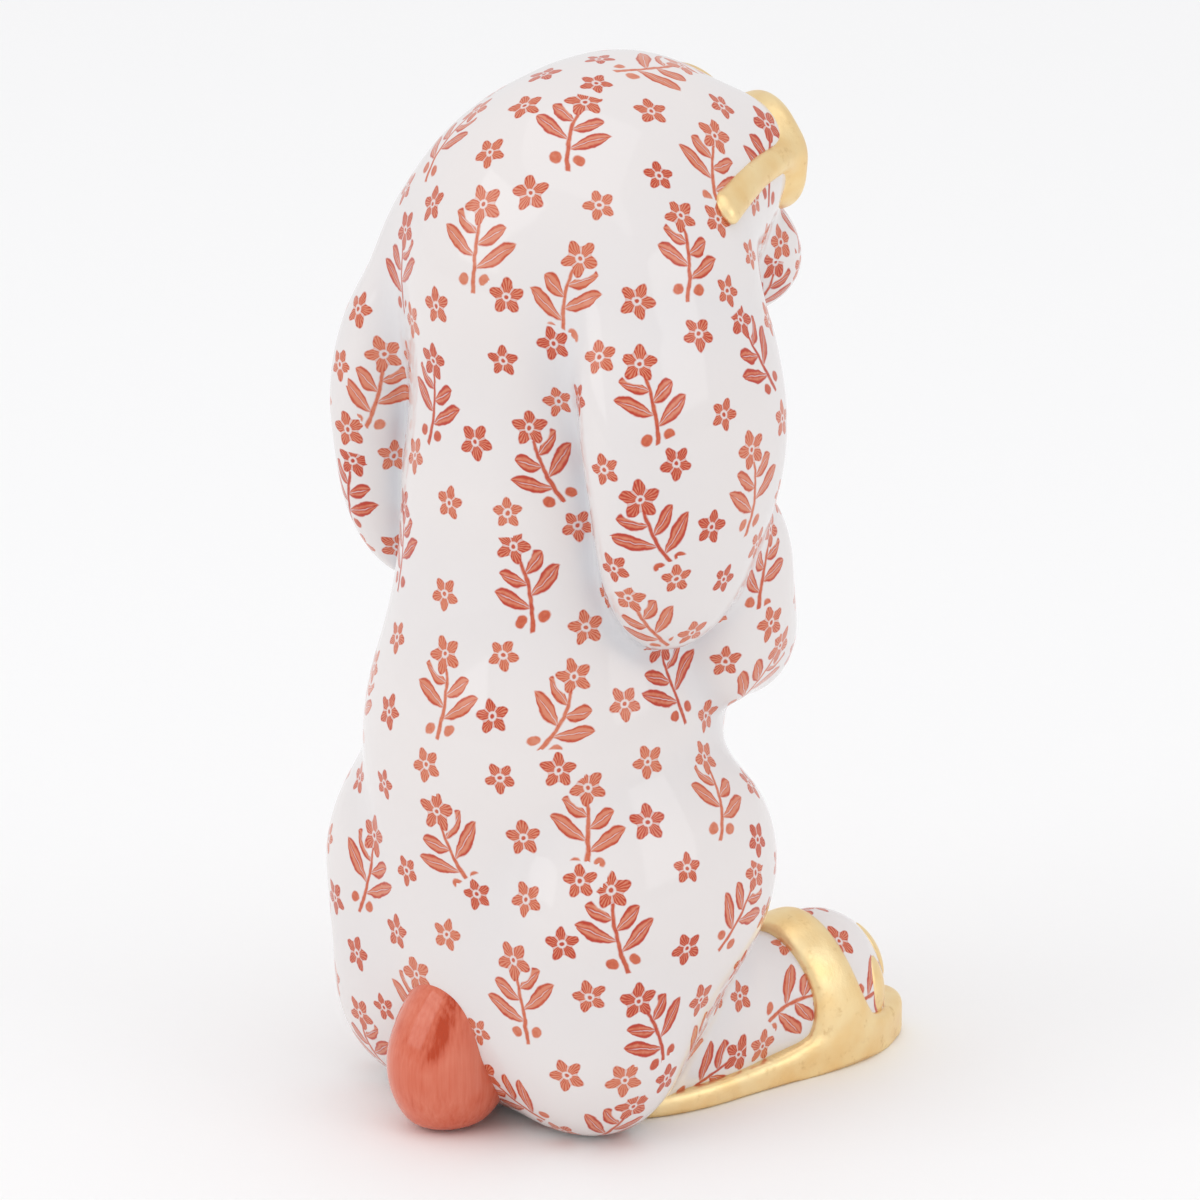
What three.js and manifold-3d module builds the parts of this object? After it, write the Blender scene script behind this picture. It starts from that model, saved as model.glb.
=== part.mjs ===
// A sitting lop-eared rabbit figurine in slip-cast porcelain, with moulded spectacles and sandals.
// Millimetres, +Z up. The rabbit faces -Y, its right side is -X, and the origin is the centre of its footprint.
//
// Each casting is a solid swollen out of a few rounded lobes that melt into each other. A casting that is
// luted onto another is cut back by that other one, grown by the slip gap, so every seat follows its neighbour.
import * as THREE from "three";
import { mergeVertices } from "three/addons/utils/BufferGeometryUtils.js";
import Module from "manifold-3d";

const wasm = await Module();
wasm.setup();

// Driving sizes, in millimetres and degrees. Each lobe has half sizes from its own centre, and its centre is
// stepped from the lobe that it grows out of: rise or drop, forward or back, outset from or inset into its side.
const SLIP_GAP = 0.3; // clearance between two castings that are luted together
const WALL = 3.0; // thickness of the hollow castings
const VENT_RADIUS = 3.2; // hole in the base that lets the kiln gases out

const RUMP = { rise: 14, back: 5.2, halfWidth: 15.4, halfDepth: 13.4, halfHeight: 15.2 };
const BELLY = { rise: 18, back: 0.4, halfWidth: 14.9, halfDepth: 13.6, halfHeight: 20 };
const CHEST = { rise: 20, forward: 1.4, halfWidth: 12.6, halfDepth: 12.0, halfHeight: 16 };
const PAUNCH = { drop: 10, forward: 6.7, halfWidth: 10.0, halfDepth: 9.5, halfHeight: 15 };
const TORSO_MELT = 6; // how softly the lobes of the torso run into each other
const NECK_SEAM_RISE = 9.5; // height of the neck seam above the centre of the chest

const NAPE = { rise: 17, forward: 2.2, halfWidth: 12.8, halfDepth: 12.8, halfHeight: 17 };
const SKULL = { rise: 7, forward: 6.0, halfWidth: 12.6, halfDepth: 12.6, halfHeight: 12 };
const MUZZLE = { drop: 5.2, forward: 9.2, halfWidth: 6.0, halfDepth: 7.0, halfHeight: 5.6, pitch: -20 };
const CHEEK = { outset: 4.0, forward: 1.4, drop: 1.2, halfWidth: 4.6, halfDepth: 4.9, halfHeight: 4.4 };
const CHIN = { drop: 5.2, back: 0.8, halfWidth: 4.2, halfDepth: 4.6, halfHeight: 4.0 };
const EYE = { outset: 5.0, forward: 7.9, rise: 2.9, halfWidth: 4.6, halfDepth: 4.9, halfHeight: 4.8 };
const HEAD_MELT = 3;

const EAR_ROOT = { inset: 4.2, back: 5.6, drop: 1.4, halfWidth: 5.6, halfDepth: 8.3, halfHeight: 8.5, roll: 35 };
const EAR_BLADE = { outset: 5.2, back: 1.0, drop: 10.6, halfWidth: 4.9, halfDepth: 10.4, halfHeight: 12.5, roll: 10 };
const EAR_FALL = { outset: 1.6, back: 1.0, drop: 7.5, halfWidth: 4.7, halfDepth: 9.4, halfHeight: 12.6 };
const EAR_TIP = { inset: 0.4, back: 1.7, drop: 6.5, halfWidth: 3.6, halfDepth: 5.0, halfHeight: 8.0, roll: -6 };
const EAR_MELT = 4;

const SHOULDER = { inset: 0.6, forward: 5.7, drop: 1.0, halfWidth: 5.0, halfDepth: 6.0, halfHeight: 8.0 };
const UPPER_ARM = { forward: 3.1, drop: 7.5, halfWidth: 4.8, halfDepth: 5.6, halfHeight: 9.0, pitch: 18 };
const ELBOW = { inset: 3.4, forward: 4.2, drop: 3.0, halfWidth: 5.4, halfDepth: 4.9, halfHeight: 5.0 };
const PAW = { inset: 4.2, forward: 3.2, rise: 4.5, halfWidth: 3.9, halfDepth: 3.8, halfHeight: 6.0 };
const ARM_MELT = 3.5;

const THIGH = { inset: 4.4, forward: 1.6, rise: 5.9, halfWidth: 8.3, halfDepth: 13.3, halfHeight: 11.4, pitch: -24 };
const HOCK = { inset: 1.4, back: 5.4, drop: 10.5, halfWidth: 8.2, halfDepth: 7.8, halfHeight: 9.6 };
const HAUNCH_MELT = 4;

const INSTEP = { inset: 7.4, forward: 10.8, drop: 8.6, halfWidth: 5.2, halfDepth: 12.0, halfHeight: 7.0 };
const TOES = { outset: 0.6, forward: 11.6, drop: 0.2, halfWidth: 5.4, halfDepth: 11.2, halfHeight: 6.7 };
const FOOT_MELT = 3;
const SOLE = { heelThickness: 1.7, toeThickness: 3.4, welt: 0.5, outlineHeight: 3.0 };
const STRAP = { thickness: 0.8, width: 5.2, ahead: -1.1, yaw: 4 };

const SCUT = { drop: 8.4, inset: 1.6, halfWidth: 4.6, halfDepth: 4.6, halfHeight: 6.2 };
const SCUT_TIP = { rise: 3.2, forward: 0.6, halfWidth: 3.2, halfDepth: 3.4, halfHeight: 4.6, pitch: -15 };
const SCUT_MELT = 3;

const RIM = { outset: 5.0, forward: 12.6, rise: 2.9, radius: 3.6, bead: 1.2, seat: 4.5, wrap: 15, tilt: -8 };
const BRIDGE = { bead: 0.9, joinAngle: 42, forward: 0.6 };
const TEMPLE = { length: 13.8, thickness: 0.9, hingeWidth: 2.3, endWidth: 2.6, hingeRise: 0.6, endDrop: 1.5 };

// Mesh fineness: steps along a casting, steps round it, and steps over each rounded end.
const FINE = {
  torso: [18, 28, 5],
  head: [9, 28, 8],
  torsoHollow: [10, 14, 4],
  headHollow: [4, 14, 4],
  ear: [10, 18, 4],
  upperArm: [7, 14, 4],
  foreArm: [4, 14, 4],
  haunch: [5, 22, 6],
  foot: [8, 18, 5],
  tail: [3, 16, 5],
  rim: [24, 6],
  bridge: [5, 8],
};

const point = (x, y, z) => new THREE.Vector3(x, y, z);

// One rounded lobe: a centre, three half sizes, and a turn about X (pitch) or about Y (roll).
function lobe(centre, { halfWidth, halfDepth, halfHeight, pitch = 0, roll = 0 }) {
  const euler = new THREE.Euler(THREE.MathUtils.degToRad(pitch), THREE.MathUtils.degToRad(roll), 0);
  const unturn = new THREE.Matrix4().makeRotationFromEuler(euler).invert();
  return { centre, half: point(halfWidth, halfDepth, halfHeight), unturn };
}

// How far a place lies outside a lobe, about in millimetres; it is negative inside.
function outsideLobe({ centre, half, unturn }, place) {
  const scaled = place.clone().sub(centre).applyMatrix4(unturn).divide(half);
  const size = scaled.length();
  const slope = scaled.divide(half).length();
  return slope === 0 ? -Math.min(half.x, half.y, half.z) : (size * (size - 1)) / slope;
}

// The smaller of two distances, rounded off where they are nearly equal.
function soften(a, b, melt) {
  const share = THREE.MathUtils.clamp(0.5 + (b - a) / (2 * melt), 0, 1);
  return b * (1 - share) + a * share - melt * share * (1 - share);
}

// A form: its lobes, how softly they melt, and the spine that its skin is measured out from.
const form = (lobes, melt, spine) => ({ lobes, melt, spine: new THREE.CatmullRomCurve3(spine) });

function outside({ lobes, melt }, place) {
  return lobes.map((each) => outsideLobe(each, place)).reduce((a, b) => soften(a, b, melt));
}

// Where a line from inside the form first leaves it, with the form grown by a margin.
function edge(shape, from, direction, grow) {
  const along = (s) => from.clone().addScaledVector(direction, s);
  const depth = (s) => outside(shape, along(s)) - grow;
  let near = 0;
  let far = 0.5;
  while (depth(far) < 0) {
    near = far;
    far += Math.max(0.3, -0.7 * depth(far));
  }
  for (let i = 0; i < 24; i += 1) {
    const middle = (near + far) / 2;
    if (depth(middle) < 0) near = middle;
    else far = middle;
  }
  return along(far);
}

// The form's closed skin: rings of points round its spine, with a rounded cap over each end.
function skin(shape, [rings, sides, capRings], grow = 0) {
  const ring = (t, lean) => {
    const from = shape.spine.getPoint(t);
    const along = shape.spine.getTangent(t);
    const side = point(1, 0, 0).addScaledVector(along, -along.x).normalize();
    const other = along.clone().cross(side);
    return Array.from({ length: sides }, (_, i) => {
      const angle = (2 * Math.PI * i) / sides;
      const outward = side.clone().multiplyScalar(Math.cos(angle)).addScaledVector(other, Math.sin(angle));
      outward.multiplyScalar(Math.cos(lean)).addScaledVector(along, Math.sin(lean));
      return edge(shape, from, outward, grow);
    });
  };
  const pole = (t, sign) => edge(shape, shape.spine.getPoint(t), shape.spine.getTangent(t).multiplyScalar(sign), grow);
  const rows = [];
  for (let i = 1; i < capRings; i += 1) rows.push(ring(0, (-Math.PI / 2) * (1 - i / capRings)));
  for (let i = 0; i <= rings; i += 1) rows.push(ring(i / rings, 0));
  for (let i = 1; i < capRings; i += 1) rows.push(ring(1, (Math.PI / 2) * (i / capRings)));
  const points = [pole(0, -1), ...rows.flat(), pole(1, 1)];

  const last = points.length - 1;
  const at = (row, i) => 1 + row * sides + (i % sides);
  const faces = [];
  for (let i = 0; i < sides; i += 1) {
    faces.push(0, at(0, i + 1), at(0, i));
    for (let row = 0; row + 1 < rows.length; row += 1) {
      faces.push(at(row, i), at(row, i + 1), at(row + 1, i + 1));
      faces.push(at(row, i), at(row + 1, i + 1), at(row + 1, i));
    }
    faces.push(last, at(rows.length - 1, i), at(rows.length - 1, i + 1));
  }
  const geometry = new THREE.BufferGeometry().setFromPoints(points);
  return solid(geometry.setIndex(faces));
}

// A closed mesh as a solid that can be joined and cut, and a solid as a mesh again.
function solid(geometry) {
  const bare = geometry.clone();
  for (const name of ["normal", "uv"]) bare.deleteAttribute(name);
  const merged = mergeVertices(bare, 1e-4);
  const vertProperties = new Float32Array(merged.attributes.position.array);
  const triVerts = new Uint32Array(merged.index.array);
  return new wasm.Manifold(new wasm.Mesh({ numProp: 3, vertProperties, triVerts }));
}

function meshOf(made) {
  const { vertProperties, triVerts } = made.getMesh();
  const geometry = new THREE.BufferGeometry();
  geometry.setAttribute("position", new THREE.BufferAttribute(vertProperties, 3));
  return geometry.setIndex(new THREE.BufferAttribute(triVerts, 1));
}

// The same mesh for the other side. A mirror turns each face round, so the faces are turned back.
function mirrored(geometry) {
  const other = geometry.clone().scale(-1, 1, 1);
  const corners = other.index.array;
  for (let i = 0; i < corners.length; i += 3) [corners[i + 1], corners[i + 2]] = [corners[i + 2], corners[i + 1]];
  return other;
}

// Blocks much wider than the figure, to cut it along a plane.
const BEYOND = 400;
const block = () => new THREE.BoxGeometry(BEYOND, BEYOND, BEYOND);
const below = (height) => solid(block().translate(0, 0, height - BEYOND / 2));
const above = (height) => solid(block().translate(0, 0, height + BEYOND / 2));
const underGround = below(0);

// The torso is a run of lobes from the rump up to the chest. The head grows on from the chest.
const rumpAt = point(0, RUMP.back, RUMP.rise);
const bellyAt = point(0, rumpAt.y + BELLY.back, rumpAt.z + BELLY.rise);
const chestAt = point(0, bellyAt.y - CHEST.forward, bellyAt.z + CHEST.rise);
const paunchAt = point(0, chestAt.y - PAUNCH.forward, chestAt.z - PAUNCH.drop);
const torsoForm = form(
  [lobe(rumpAt, RUMP), lobe(bellyAt, BELLY), lobe(chestAt, CHEST), lobe(paunchAt, PAUNCH)],
  TORSO_MELT,
  [rumpAt, bellyAt, chestAt],
);

const napeAt = point(0, chestAt.y - NAPE.forward, chestAt.z + NAPE.rise);
const skullAt = point(0, napeAt.y - SKULL.forward, napeAt.z + SKULL.rise);
const muzzleAt = point(0, skullAt.y - MUZZLE.forward, skullAt.z - MUZZLE.drop);
const chinAt = point(0, muzzleAt.y + CHIN.back, muzzleAt.z - CHIN.drop);
const cheekAt = (side) => point(side * CHEEK.outset, muzzleAt.y - CHEEK.forward, muzzleAt.z - CHEEK.drop);
const eyeAt = (side) => point(side * EYE.outset, skullAt.y - EYE.forward, skullAt.z + EYE.rise);
const headForm = form(
  [
    lobe(napeAt, NAPE),
    lobe(skullAt, SKULL),
    lobe(muzzleAt, MUZZLE),
    lobe(cheekAt(-1), CHEEK),
    lobe(cheekAt(1), CHEEK),
    lobe(chinAt, CHIN),
    lobe(eyeAt(-1), EYE),
    lobe(eyeAt(1), EYE),
  ],
  HEAD_MELT,
  [napeAt.clone().lerp(skullAt, 0.3), skullAt.clone().lerp(muzzleAt, 0.7)],
);

// Ear: a thick drooping blade that grows out of the side of the skull and lies along the neck.
const earRootAt = point(-SKULL.halfWidth + EAR_ROOT.inset, skullAt.y + EAR_ROOT.back, skullAt.z - EAR_ROOT.drop);
const earBladeAt = earRootAt.clone().add(point(-EAR_BLADE.outset, EAR_BLADE.back, -EAR_BLADE.drop));
const earFallAt = earBladeAt.clone().add(point(-EAR_FALL.outset, EAR_FALL.back, -EAR_FALL.drop));
const earTipAt = earFallAt.clone().add(point(EAR_TIP.inset, EAR_TIP.back, -EAR_TIP.drop));
const earForm = form(
  [lobe(earRootAt, EAR_ROOT), lobe(earBladeAt, EAR_BLADE), lobe(earFallAt, EAR_FALL), lobe(earTipAt, EAR_TIP)],
  EAR_MELT,
  [earRootAt, earBladeAt, earFallAt, earTipAt],
);

// Arm: a shoulder under the ear and an elbow, and from the elbow a paw that is raised to the chest.
const shoulderAt = point(-CHEST.halfWidth + SHOULDER.inset, chestAt.y - SHOULDER.forward, chestAt.z - SHOULDER.drop);
const upperArmAt = shoulderAt.clone().add(point(0, -UPPER_ARM.forward, -UPPER_ARM.drop));
const elbowAt = upperArmAt.clone().add(point(ELBOW.inset, -ELBOW.forward, -ELBOW.drop));
const pawAt = elbowAt.clone().add(point(PAW.inset, -PAW.forward, PAW.rise));
const upperArmForm = form(
  [lobe(shoulderAt, SHOULDER), lobe(upperArmAt, UPPER_ARM), lobe(elbowAt, ELBOW)],
  ARM_MELT,
  [shoulderAt, upperArmAt, elbowAt],
);
const foreArmForm = form([lobe(elbowAt, ELBOW), lobe(pawAt, PAW)], ARM_MELT, [elbowAt, pawAt]);

// Haunch: the folded hind leg, a round thigh over a hock that rests on the ground.
const thighAt = point(-RUMP.halfWidth + THIGH.inset, rumpAt.y - THIGH.forward, rumpAt.z + THIGH.rise);
const hockAt = thighAt.clone().add(point(HOCK.inset, HOCK.back, -HOCK.drop));
const haunchForm = form([lobe(thighAt, THIGH), lobe(hockAt, HOCK)], HAUNCH_MELT, [hockAt, thighAt]);

// Hind foot: an instep that runs out from under the haunch, and broad toes.
const instepAt = point(-RUMP.halfWidth + INSTEP.inset, rumpAt.y - INSTEP.forward, rumpAt.z - INSTEP.drop);
const toesAt = instepAt.clone().add(point(-TOES.outset, -TOES.forward, -TOES.drop));
const footForm = form([lobe(instepAt, INSTEP), lobe(toesAt, TOES)], FOOT_MELT, [instepAt, toesAt]);

// Tail: an upright egg against the rump.
const scutAt = point(0, rumpAt.y + RUMP.halfDepth - SCUT.inset, rumpAt.z - SCUT.drop);
const scutTipAt = scutAt.clone().add(point(0, -SCUT_TIP.forward, SCUT_TIP.rise));
const tailForm = form([lobe(scutAt, SCUT), lobe(scutTipAt, SCUT_TIP)], SCUT_MELT, [scutAt, scutTipAt]);

// The torso and head castings as one, grown or shrunk by a margin, for what is cut by them or out of them.
const bodySkin = (grow) => skin(torsoForm, FINE.torso, grow).add(skin(headForm, FINE.head, grow));
const bodyGrown = bodySkin(SLIP_GAP);
const earGrown = skin(earForm, FINE.ear, SLIP_GAP);
const haunchGrown = skin(haunchForm, FINE.haunch, SLIP_GAP);

// The hollow that the slip leaves: the body's own form inside its wall, with a flat floor over the vent.
function hollow() {
  const inside = skin(torsoForm, FINE.torsoHollow, -WALL).add(skin(headForm, FINE.headHollow, -WALL));
  const [, sides] = FINE.torsoHollow;
  const vent = new THREE.CylinderGeometry(VENT_RADIUS, VENT_RADIUS, 2 * RUMP.rise, sides);
  return inside.subtract(below(WALL)).add(solid(vent.rotateX(Math.PI / 2).translate(0, rumpAt.y, 0)));
}

// Torso and head are one cast form, parted at the neck seam.
const castBody = bodySkin(0).subtract(underGround).subtract(hollow());
const neckSeam = chestAt.z + NECK_SEAM_RISE;
const torso = castBody.subtract(above(neckSeam - SLIP_GAP / 2));
const head = castBody.subtract(below(neckSeam + SLIP_GAP / 2));

const ear = skin(earForm, FINE.ear).subtract(bodyGrown);
const wholeArm = skin(upperArmForm, FINE.upperArm).add(skin(foreArmForm, FINE.foreArm));
const arm = wholeArm.subtract(bodyGrown).subtract(earGrown);
const haunch = skin(haunchForm, FINE.haunch).subtract(bodyGrown).subtract(underGround);
const tail = skin(tailForm, FINE.tail).subtract(bodyGrown).subtract(underGround);

// What lies under the top of the sandal's sole, which climbs from the heel to the toes.
const soleHeel = instepAt.y + INSTEP.halfDepth;
const soleToe = toesAt.y - TOES.halfDepth;
function underSole(lift) {
  const climb = Math.atan2(SOLE.toeThickness - SOLE.heelThickness, soleHeel - soleToe);
  const wedge = block().translate(0, 0, -BEYOND / 2).rotateX(-climb);
  return solid(wedge.translate(0, soleHeel, SOLE.heelThickness + lift));
}

// Sole: the foot's outline just above the ground, let out by the welt, under the sloping top.
function sole() {
  const middle = instepAt.clone().lerp(toesAt, 0.5).setZ(SOLE.outlineHeight);
  const sides = 2 * FINE.foot[1];
  const outline = Array.from({ length: sides }, (_, i) => {
    const angle = (2 * Math.PI * i) / sides;
    const rim = edge(footForm, middle, point(Math.cos(angle), Math.sin(angle), 0), SOLE.welt);
    return new THREE.Vector2(rim.x, rim.y);
  });
  const depth = 2 * SOLE.toeThickness;
  const plate = new THREE.ExtrudeGeometry(new THREE.Shape(outline), { depth, bevelEnabled: false });
  return solid(plate).intersect(underSole(0)).subtract(haunchGrown).subtract(bodyGrown);
}

const foot = skin(footForm, FINE.foot).subtract(underSole(SLIP_GAP)).subtract(haunchGrown).subtract(bodyGrown);

// Strap: a band of the foot's own form, grown by the strap's thickness, that comes down to the sole.
function strap() {
  const shell = skin(footForm, FINE.foot, SLIP_GAP + STRAP.thickness).subtract(skin(footForm, FINE.foot, SLIP_GAP));
  const band = new THREE.BoxGeometry(BEYOND, STRAP.width, BEYOND);
  band.rotateZ(THREE.MathUtils.degToRad(STRAP.yaw)).translate(toesAt.x, toesAt.y - STRAP.ahead, 0);
  return shell.intersect(solid(band)).subtract(underSole(SLIP_GAP)).subtract(haunchGrown).subtract(bodyGrown);
}

// Spectacle rim on the right side: a beaded ring round the eye, whose wall runs back until it meets the face.
const rimAt = point(-RIM.outset, skullAt.y - RIM.forward, skullAt.z + RIM.rise);
const rimEuler = new THREE.Euler(THREE.MathUtils.degToRad(RIM.tilt), 0, THREE.MathUtils.degToRad(-RIM.wrap), "ZXY");
const rimPlace = new THREE.Matrix4().makeRotationFromEuler(rimEuler).setPosition(rimAt);

function rim(grow) {
  const [around, across] = FINE.rim;
  const bead = RIM.bead + grow;
  const profile = [new THREE.Vector2(RIM.radius + bead, RIM.seat)];
  for (let i = 0; i <= across; i += 1) {
    const angle = (Math.PI * i) / across;
    profile.push(new THREE.Vector2(RIM.radius + bead * Math.cos(angle), -bead * Math.sin(angle)));
  }
  profile.push(new THREE.Vector2(RIM.radius - bead, RIM.seat), profile[0].clone());
  return new THREE.LatheGeometry(profile.reverse(), around).applyMatrix4(rimPlace);
}

// Spectacle front: both rims and the bridge between them, seated on the face.
function spectacleFront() {
  const join = THREE.MathUtils.degToRad(BRIDGE.joinAngle);
  const right = point(RIM.radius * Math.cos(join), 0, RIM.radius * Math.sin(join)).applyMatrix4(rimPlace);
  const left = right.clone().setX(-right.x);
  const crown = point(0, right.y - 2 * BRIDGE.forward, right.z);
  const [steps, sides] = FINE.bridge;
  const section = new THREE.Shape(new THREE.Path().absarc(0, 0, BRIDGE.bead, 0, 2 * Math.PI).getPoints(sides / 2));
  const extrudePath = new THREE.QuadraticBezierCurve3(right, crown, left);
  const bridge = new THREE.ExtrudeGeometry(section, { steps, extrudePath, bevelEnabled: false });
  const rightRim = meshOf(solid(rim(0)));
  return solid(rightRim).add(solid(mirrored(rightRim))).add(solid(bridge)).subtract(bodyGrown);
}

// Temple: a band of the head's and ear's own form, from the rim back to its rounded end.
function temple() {
  const hinge = point(-RIM.radius, 0, TEMPLE.hingeRise).applyMatrix4(rimPlace);
  const end = point(0, hinge.y + TEMPLE.length, hinge.z - TEMPLE.endDrop);
  const half = TEMPLE.endWidth / 2;
  const outline = new THREE.Shape();
  outline.moveTo(hinge.y, hinge.z - TEMPLE.hingeWidth / 2);
  outline.lineTo(end.y - half, end.z - half);
  outline.absarc(end.y - half, end.z, half, -Math.PI / 2, Math.PI / 2);
  outline.lineTo(hinge.y, hinge.z + TEMPLE.hingeWidth / 2);
  const side = new THREE.ExtrudeGeometry(outline, { depth: BEYOND, bevelEnabled: false, curveSegments: 8 });
  const sideways = new THREE.Matrix4().makeBasis(point(0, 1, 0), point(0, 0, 1), point(1, 0, 0));
  side.applyMatrix4(sideways).translate(-BEYOND, 0, 0);
  const skull = (grow) => skin(headForm, FINE.head, grow).add(skin(earForm, FINE.ear, grow));
  const shell = skull(SLIP_GAP + TEMPLE.thickness).subtract(skull(SLIP_GAP));
  return shell.intersect(solid(side)).subtract(solid(rim(SLIP_GAP)));
}

const glaze = { color: 0xf3f3f0, roughness: 0.12, metalness: 0 };
const ironRed = { color: 0xc9573d, roughness: 0.16, metalness: 0 };
const gilding = { color: 0xd9b162, roughness: 0.28, metalness: 1 };

const figure = new THREE.Group();
function add(name, geometry, finish) {
  const mesh = new THREE.Mesh(geometry, new THREE.MeshStandardMaterial(finish));
  mesh.name = name;
  figure.add(mesh);
}

// A piece made for the right side, and its mirror image on the left.
function addPair(name, made, finish) {
  const right = meshOf(made);
  add(`${name}_right`, right, finish);
  add(`${name}_left`, mirrored(right), finish);
}

add("torso", meshOf(torso), glaze);
add("head", meshOf(head), glaze);
add("tail", meshOf(tail), ironRed);
add("spectacle_front", meshOf(spectacleFront()), gilding);
addPair("ear", ear, glaze);
addPair("arm", arm, glaze);
addPair("haunch", haunch, glaze);
addPair("foot", foot, glaze);
addPair("sandal_sole", sole(), gilding);
addPair("sandal_strap", strap(), gilding);
addPair("spectacle_temple", temple(), gilding);

// The origin is the centre of the footprint, on the ground.
const extent = new THREE.Box3().setFromObject(figure);
figure.position.y = -(extent.min.y + extent.max.y) / 2;

export default figure;
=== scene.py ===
"""A lop-eared rabbit figurine in glazed porcelain, painted in iron red and gilded, dressed for rendering.

The modelling classes work in millimetres, in the modeller's frame: +Z up, the rabbit faces -Y, its right
side is -X, and the ground is at 0. `Maker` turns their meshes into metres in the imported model's own frame.

The porcelain castings, the gilded relief and the tail are each one smooth form: rounded lobes that melt
into each other. A form is skinned as a fine mesh, and the skin is then shared out among the castings, so
that every piece is a closed shell of its own and the glaze still runs over the joints without a break.
"""
from __future__ import annotations

import logging
from collections.abc import Callable
from dataclasses import dataclass
from enum import Enum

import bpy
import numpy as np
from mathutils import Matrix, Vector

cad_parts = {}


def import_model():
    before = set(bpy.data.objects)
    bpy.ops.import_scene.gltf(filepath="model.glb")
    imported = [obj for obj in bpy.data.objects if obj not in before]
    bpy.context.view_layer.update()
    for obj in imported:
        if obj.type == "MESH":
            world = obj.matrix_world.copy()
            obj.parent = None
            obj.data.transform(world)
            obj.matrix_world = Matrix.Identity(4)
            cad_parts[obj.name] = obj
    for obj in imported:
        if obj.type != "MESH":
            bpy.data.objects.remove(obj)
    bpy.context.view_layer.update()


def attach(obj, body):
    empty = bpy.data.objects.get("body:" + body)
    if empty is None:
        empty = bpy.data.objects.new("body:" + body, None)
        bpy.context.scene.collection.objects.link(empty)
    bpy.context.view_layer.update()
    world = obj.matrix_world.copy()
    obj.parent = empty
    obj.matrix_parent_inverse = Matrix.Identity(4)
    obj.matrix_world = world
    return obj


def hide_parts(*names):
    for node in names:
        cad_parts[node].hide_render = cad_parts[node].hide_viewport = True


log = logging.getLogger("rabbit_figurine")

MM = 0.001  # one millimetre, in metres
TINY = 1e-9  # keeps a division by a length of zero from failing
SHALLOWEST = 0.2  # the least slope that a step towards a surface is worked out with
FAR = 30.0  # distance that stands for a lobe too far away to matter, in millimetres
REACH = 9.0  # margin round a casting inside which its distance is worked out, in millimetres
UNPAINTED = 60.0  # a place on the brushwork's own map where nothing is painted, in millimetres
SETTLING_ROUNDS = 2  # how many steps the corners of a new skin take onto the surface
EVENING_ROUNDS = 4  # how many times the corners of a skin are evened out along it
EVENING_SHARE = 0.6  # how far a corner moves towards the middle of its neighbours each time
NORMAL_REACH = 0.12  # how far round a corner its outward direction is measured, in millimetres
SIDES = {"right": -1.0, "left": 1.0}  # the rabbit's two sides, with the sign of X on each
CUBE = [(i, j, k) for i in (0, 1) for j in (0, 1) for k in (0, 1)]  # the corners of a grid cell
EDGES = [(a, a | bit) for bit in (1, 2, 4) for a in range(8) if not a & bit]  # its edges, by corners
GLOSS = {"Specular IOR Level": 0.0, "Coat Roughness": 0.065, "IOR": 1.5}  # a clear glaze over colour

Array = np.ndarray
Field = Callable[[Array], Array]
Socket = bpy.types.NodeSocket
Material = bpy.types.Material
Piece = bpy.types.Object
Tree = bpy.types.NodeTree
Pair = tuple[float, float]
Triple = tuple[float, float, float]


def melt(first: Array, second: Array, softness: Array | float) -> Array:
    """The smaller of two distances, rounded off where they differ by less than the softness."""
    share = np.clip(0.5 + 0.5 * (second - first) / softness, 0.0, 1.0)
    return second * (1 - share) + first * share - softness * share * (1 - share)


def keep_both(first: Array, second: Array, softness: float) -> Array:
    """The larger of two distances, rounded off: what lies inside both forms."""
    return -melt(-first, -second, softness)


def ease(values: Array, start: float, end: float, first: float, last: float) -> Array:
    """A smooth change from the first number, where the values start, to the last, where they end."""
    share = np.clip((values - start) / (end - start), 0.0, 1.0)
    return first + (last - first) * (share * share * (3 - 2 * share))


def dot(first: Array, second: Array) -> Array:
    """The product of each row with its partner."""
    return np.einsum("ij,ij->i", first, second)


def length_of(rows: Array) -> Array:
    """The length of each row."""
    return np.sqrt(dot(rows, rows))


def unit(rows: Array) -> Array:
    """Each row, brought to a length of 1."""
    return rows / np.maximum(length_of(rows), TINY)[:, None]


def mean_rows(group: Array, rows: Array, count: int) -> Array:
    """The mean of the rows that belong to each of a count of groups."""
    total = np.stack([np.bincount(group, column, count) for column in rows.T], axis=1)
    return total / np.maximum(np.bincount(group, minlength=count), 1)[:, None]


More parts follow.
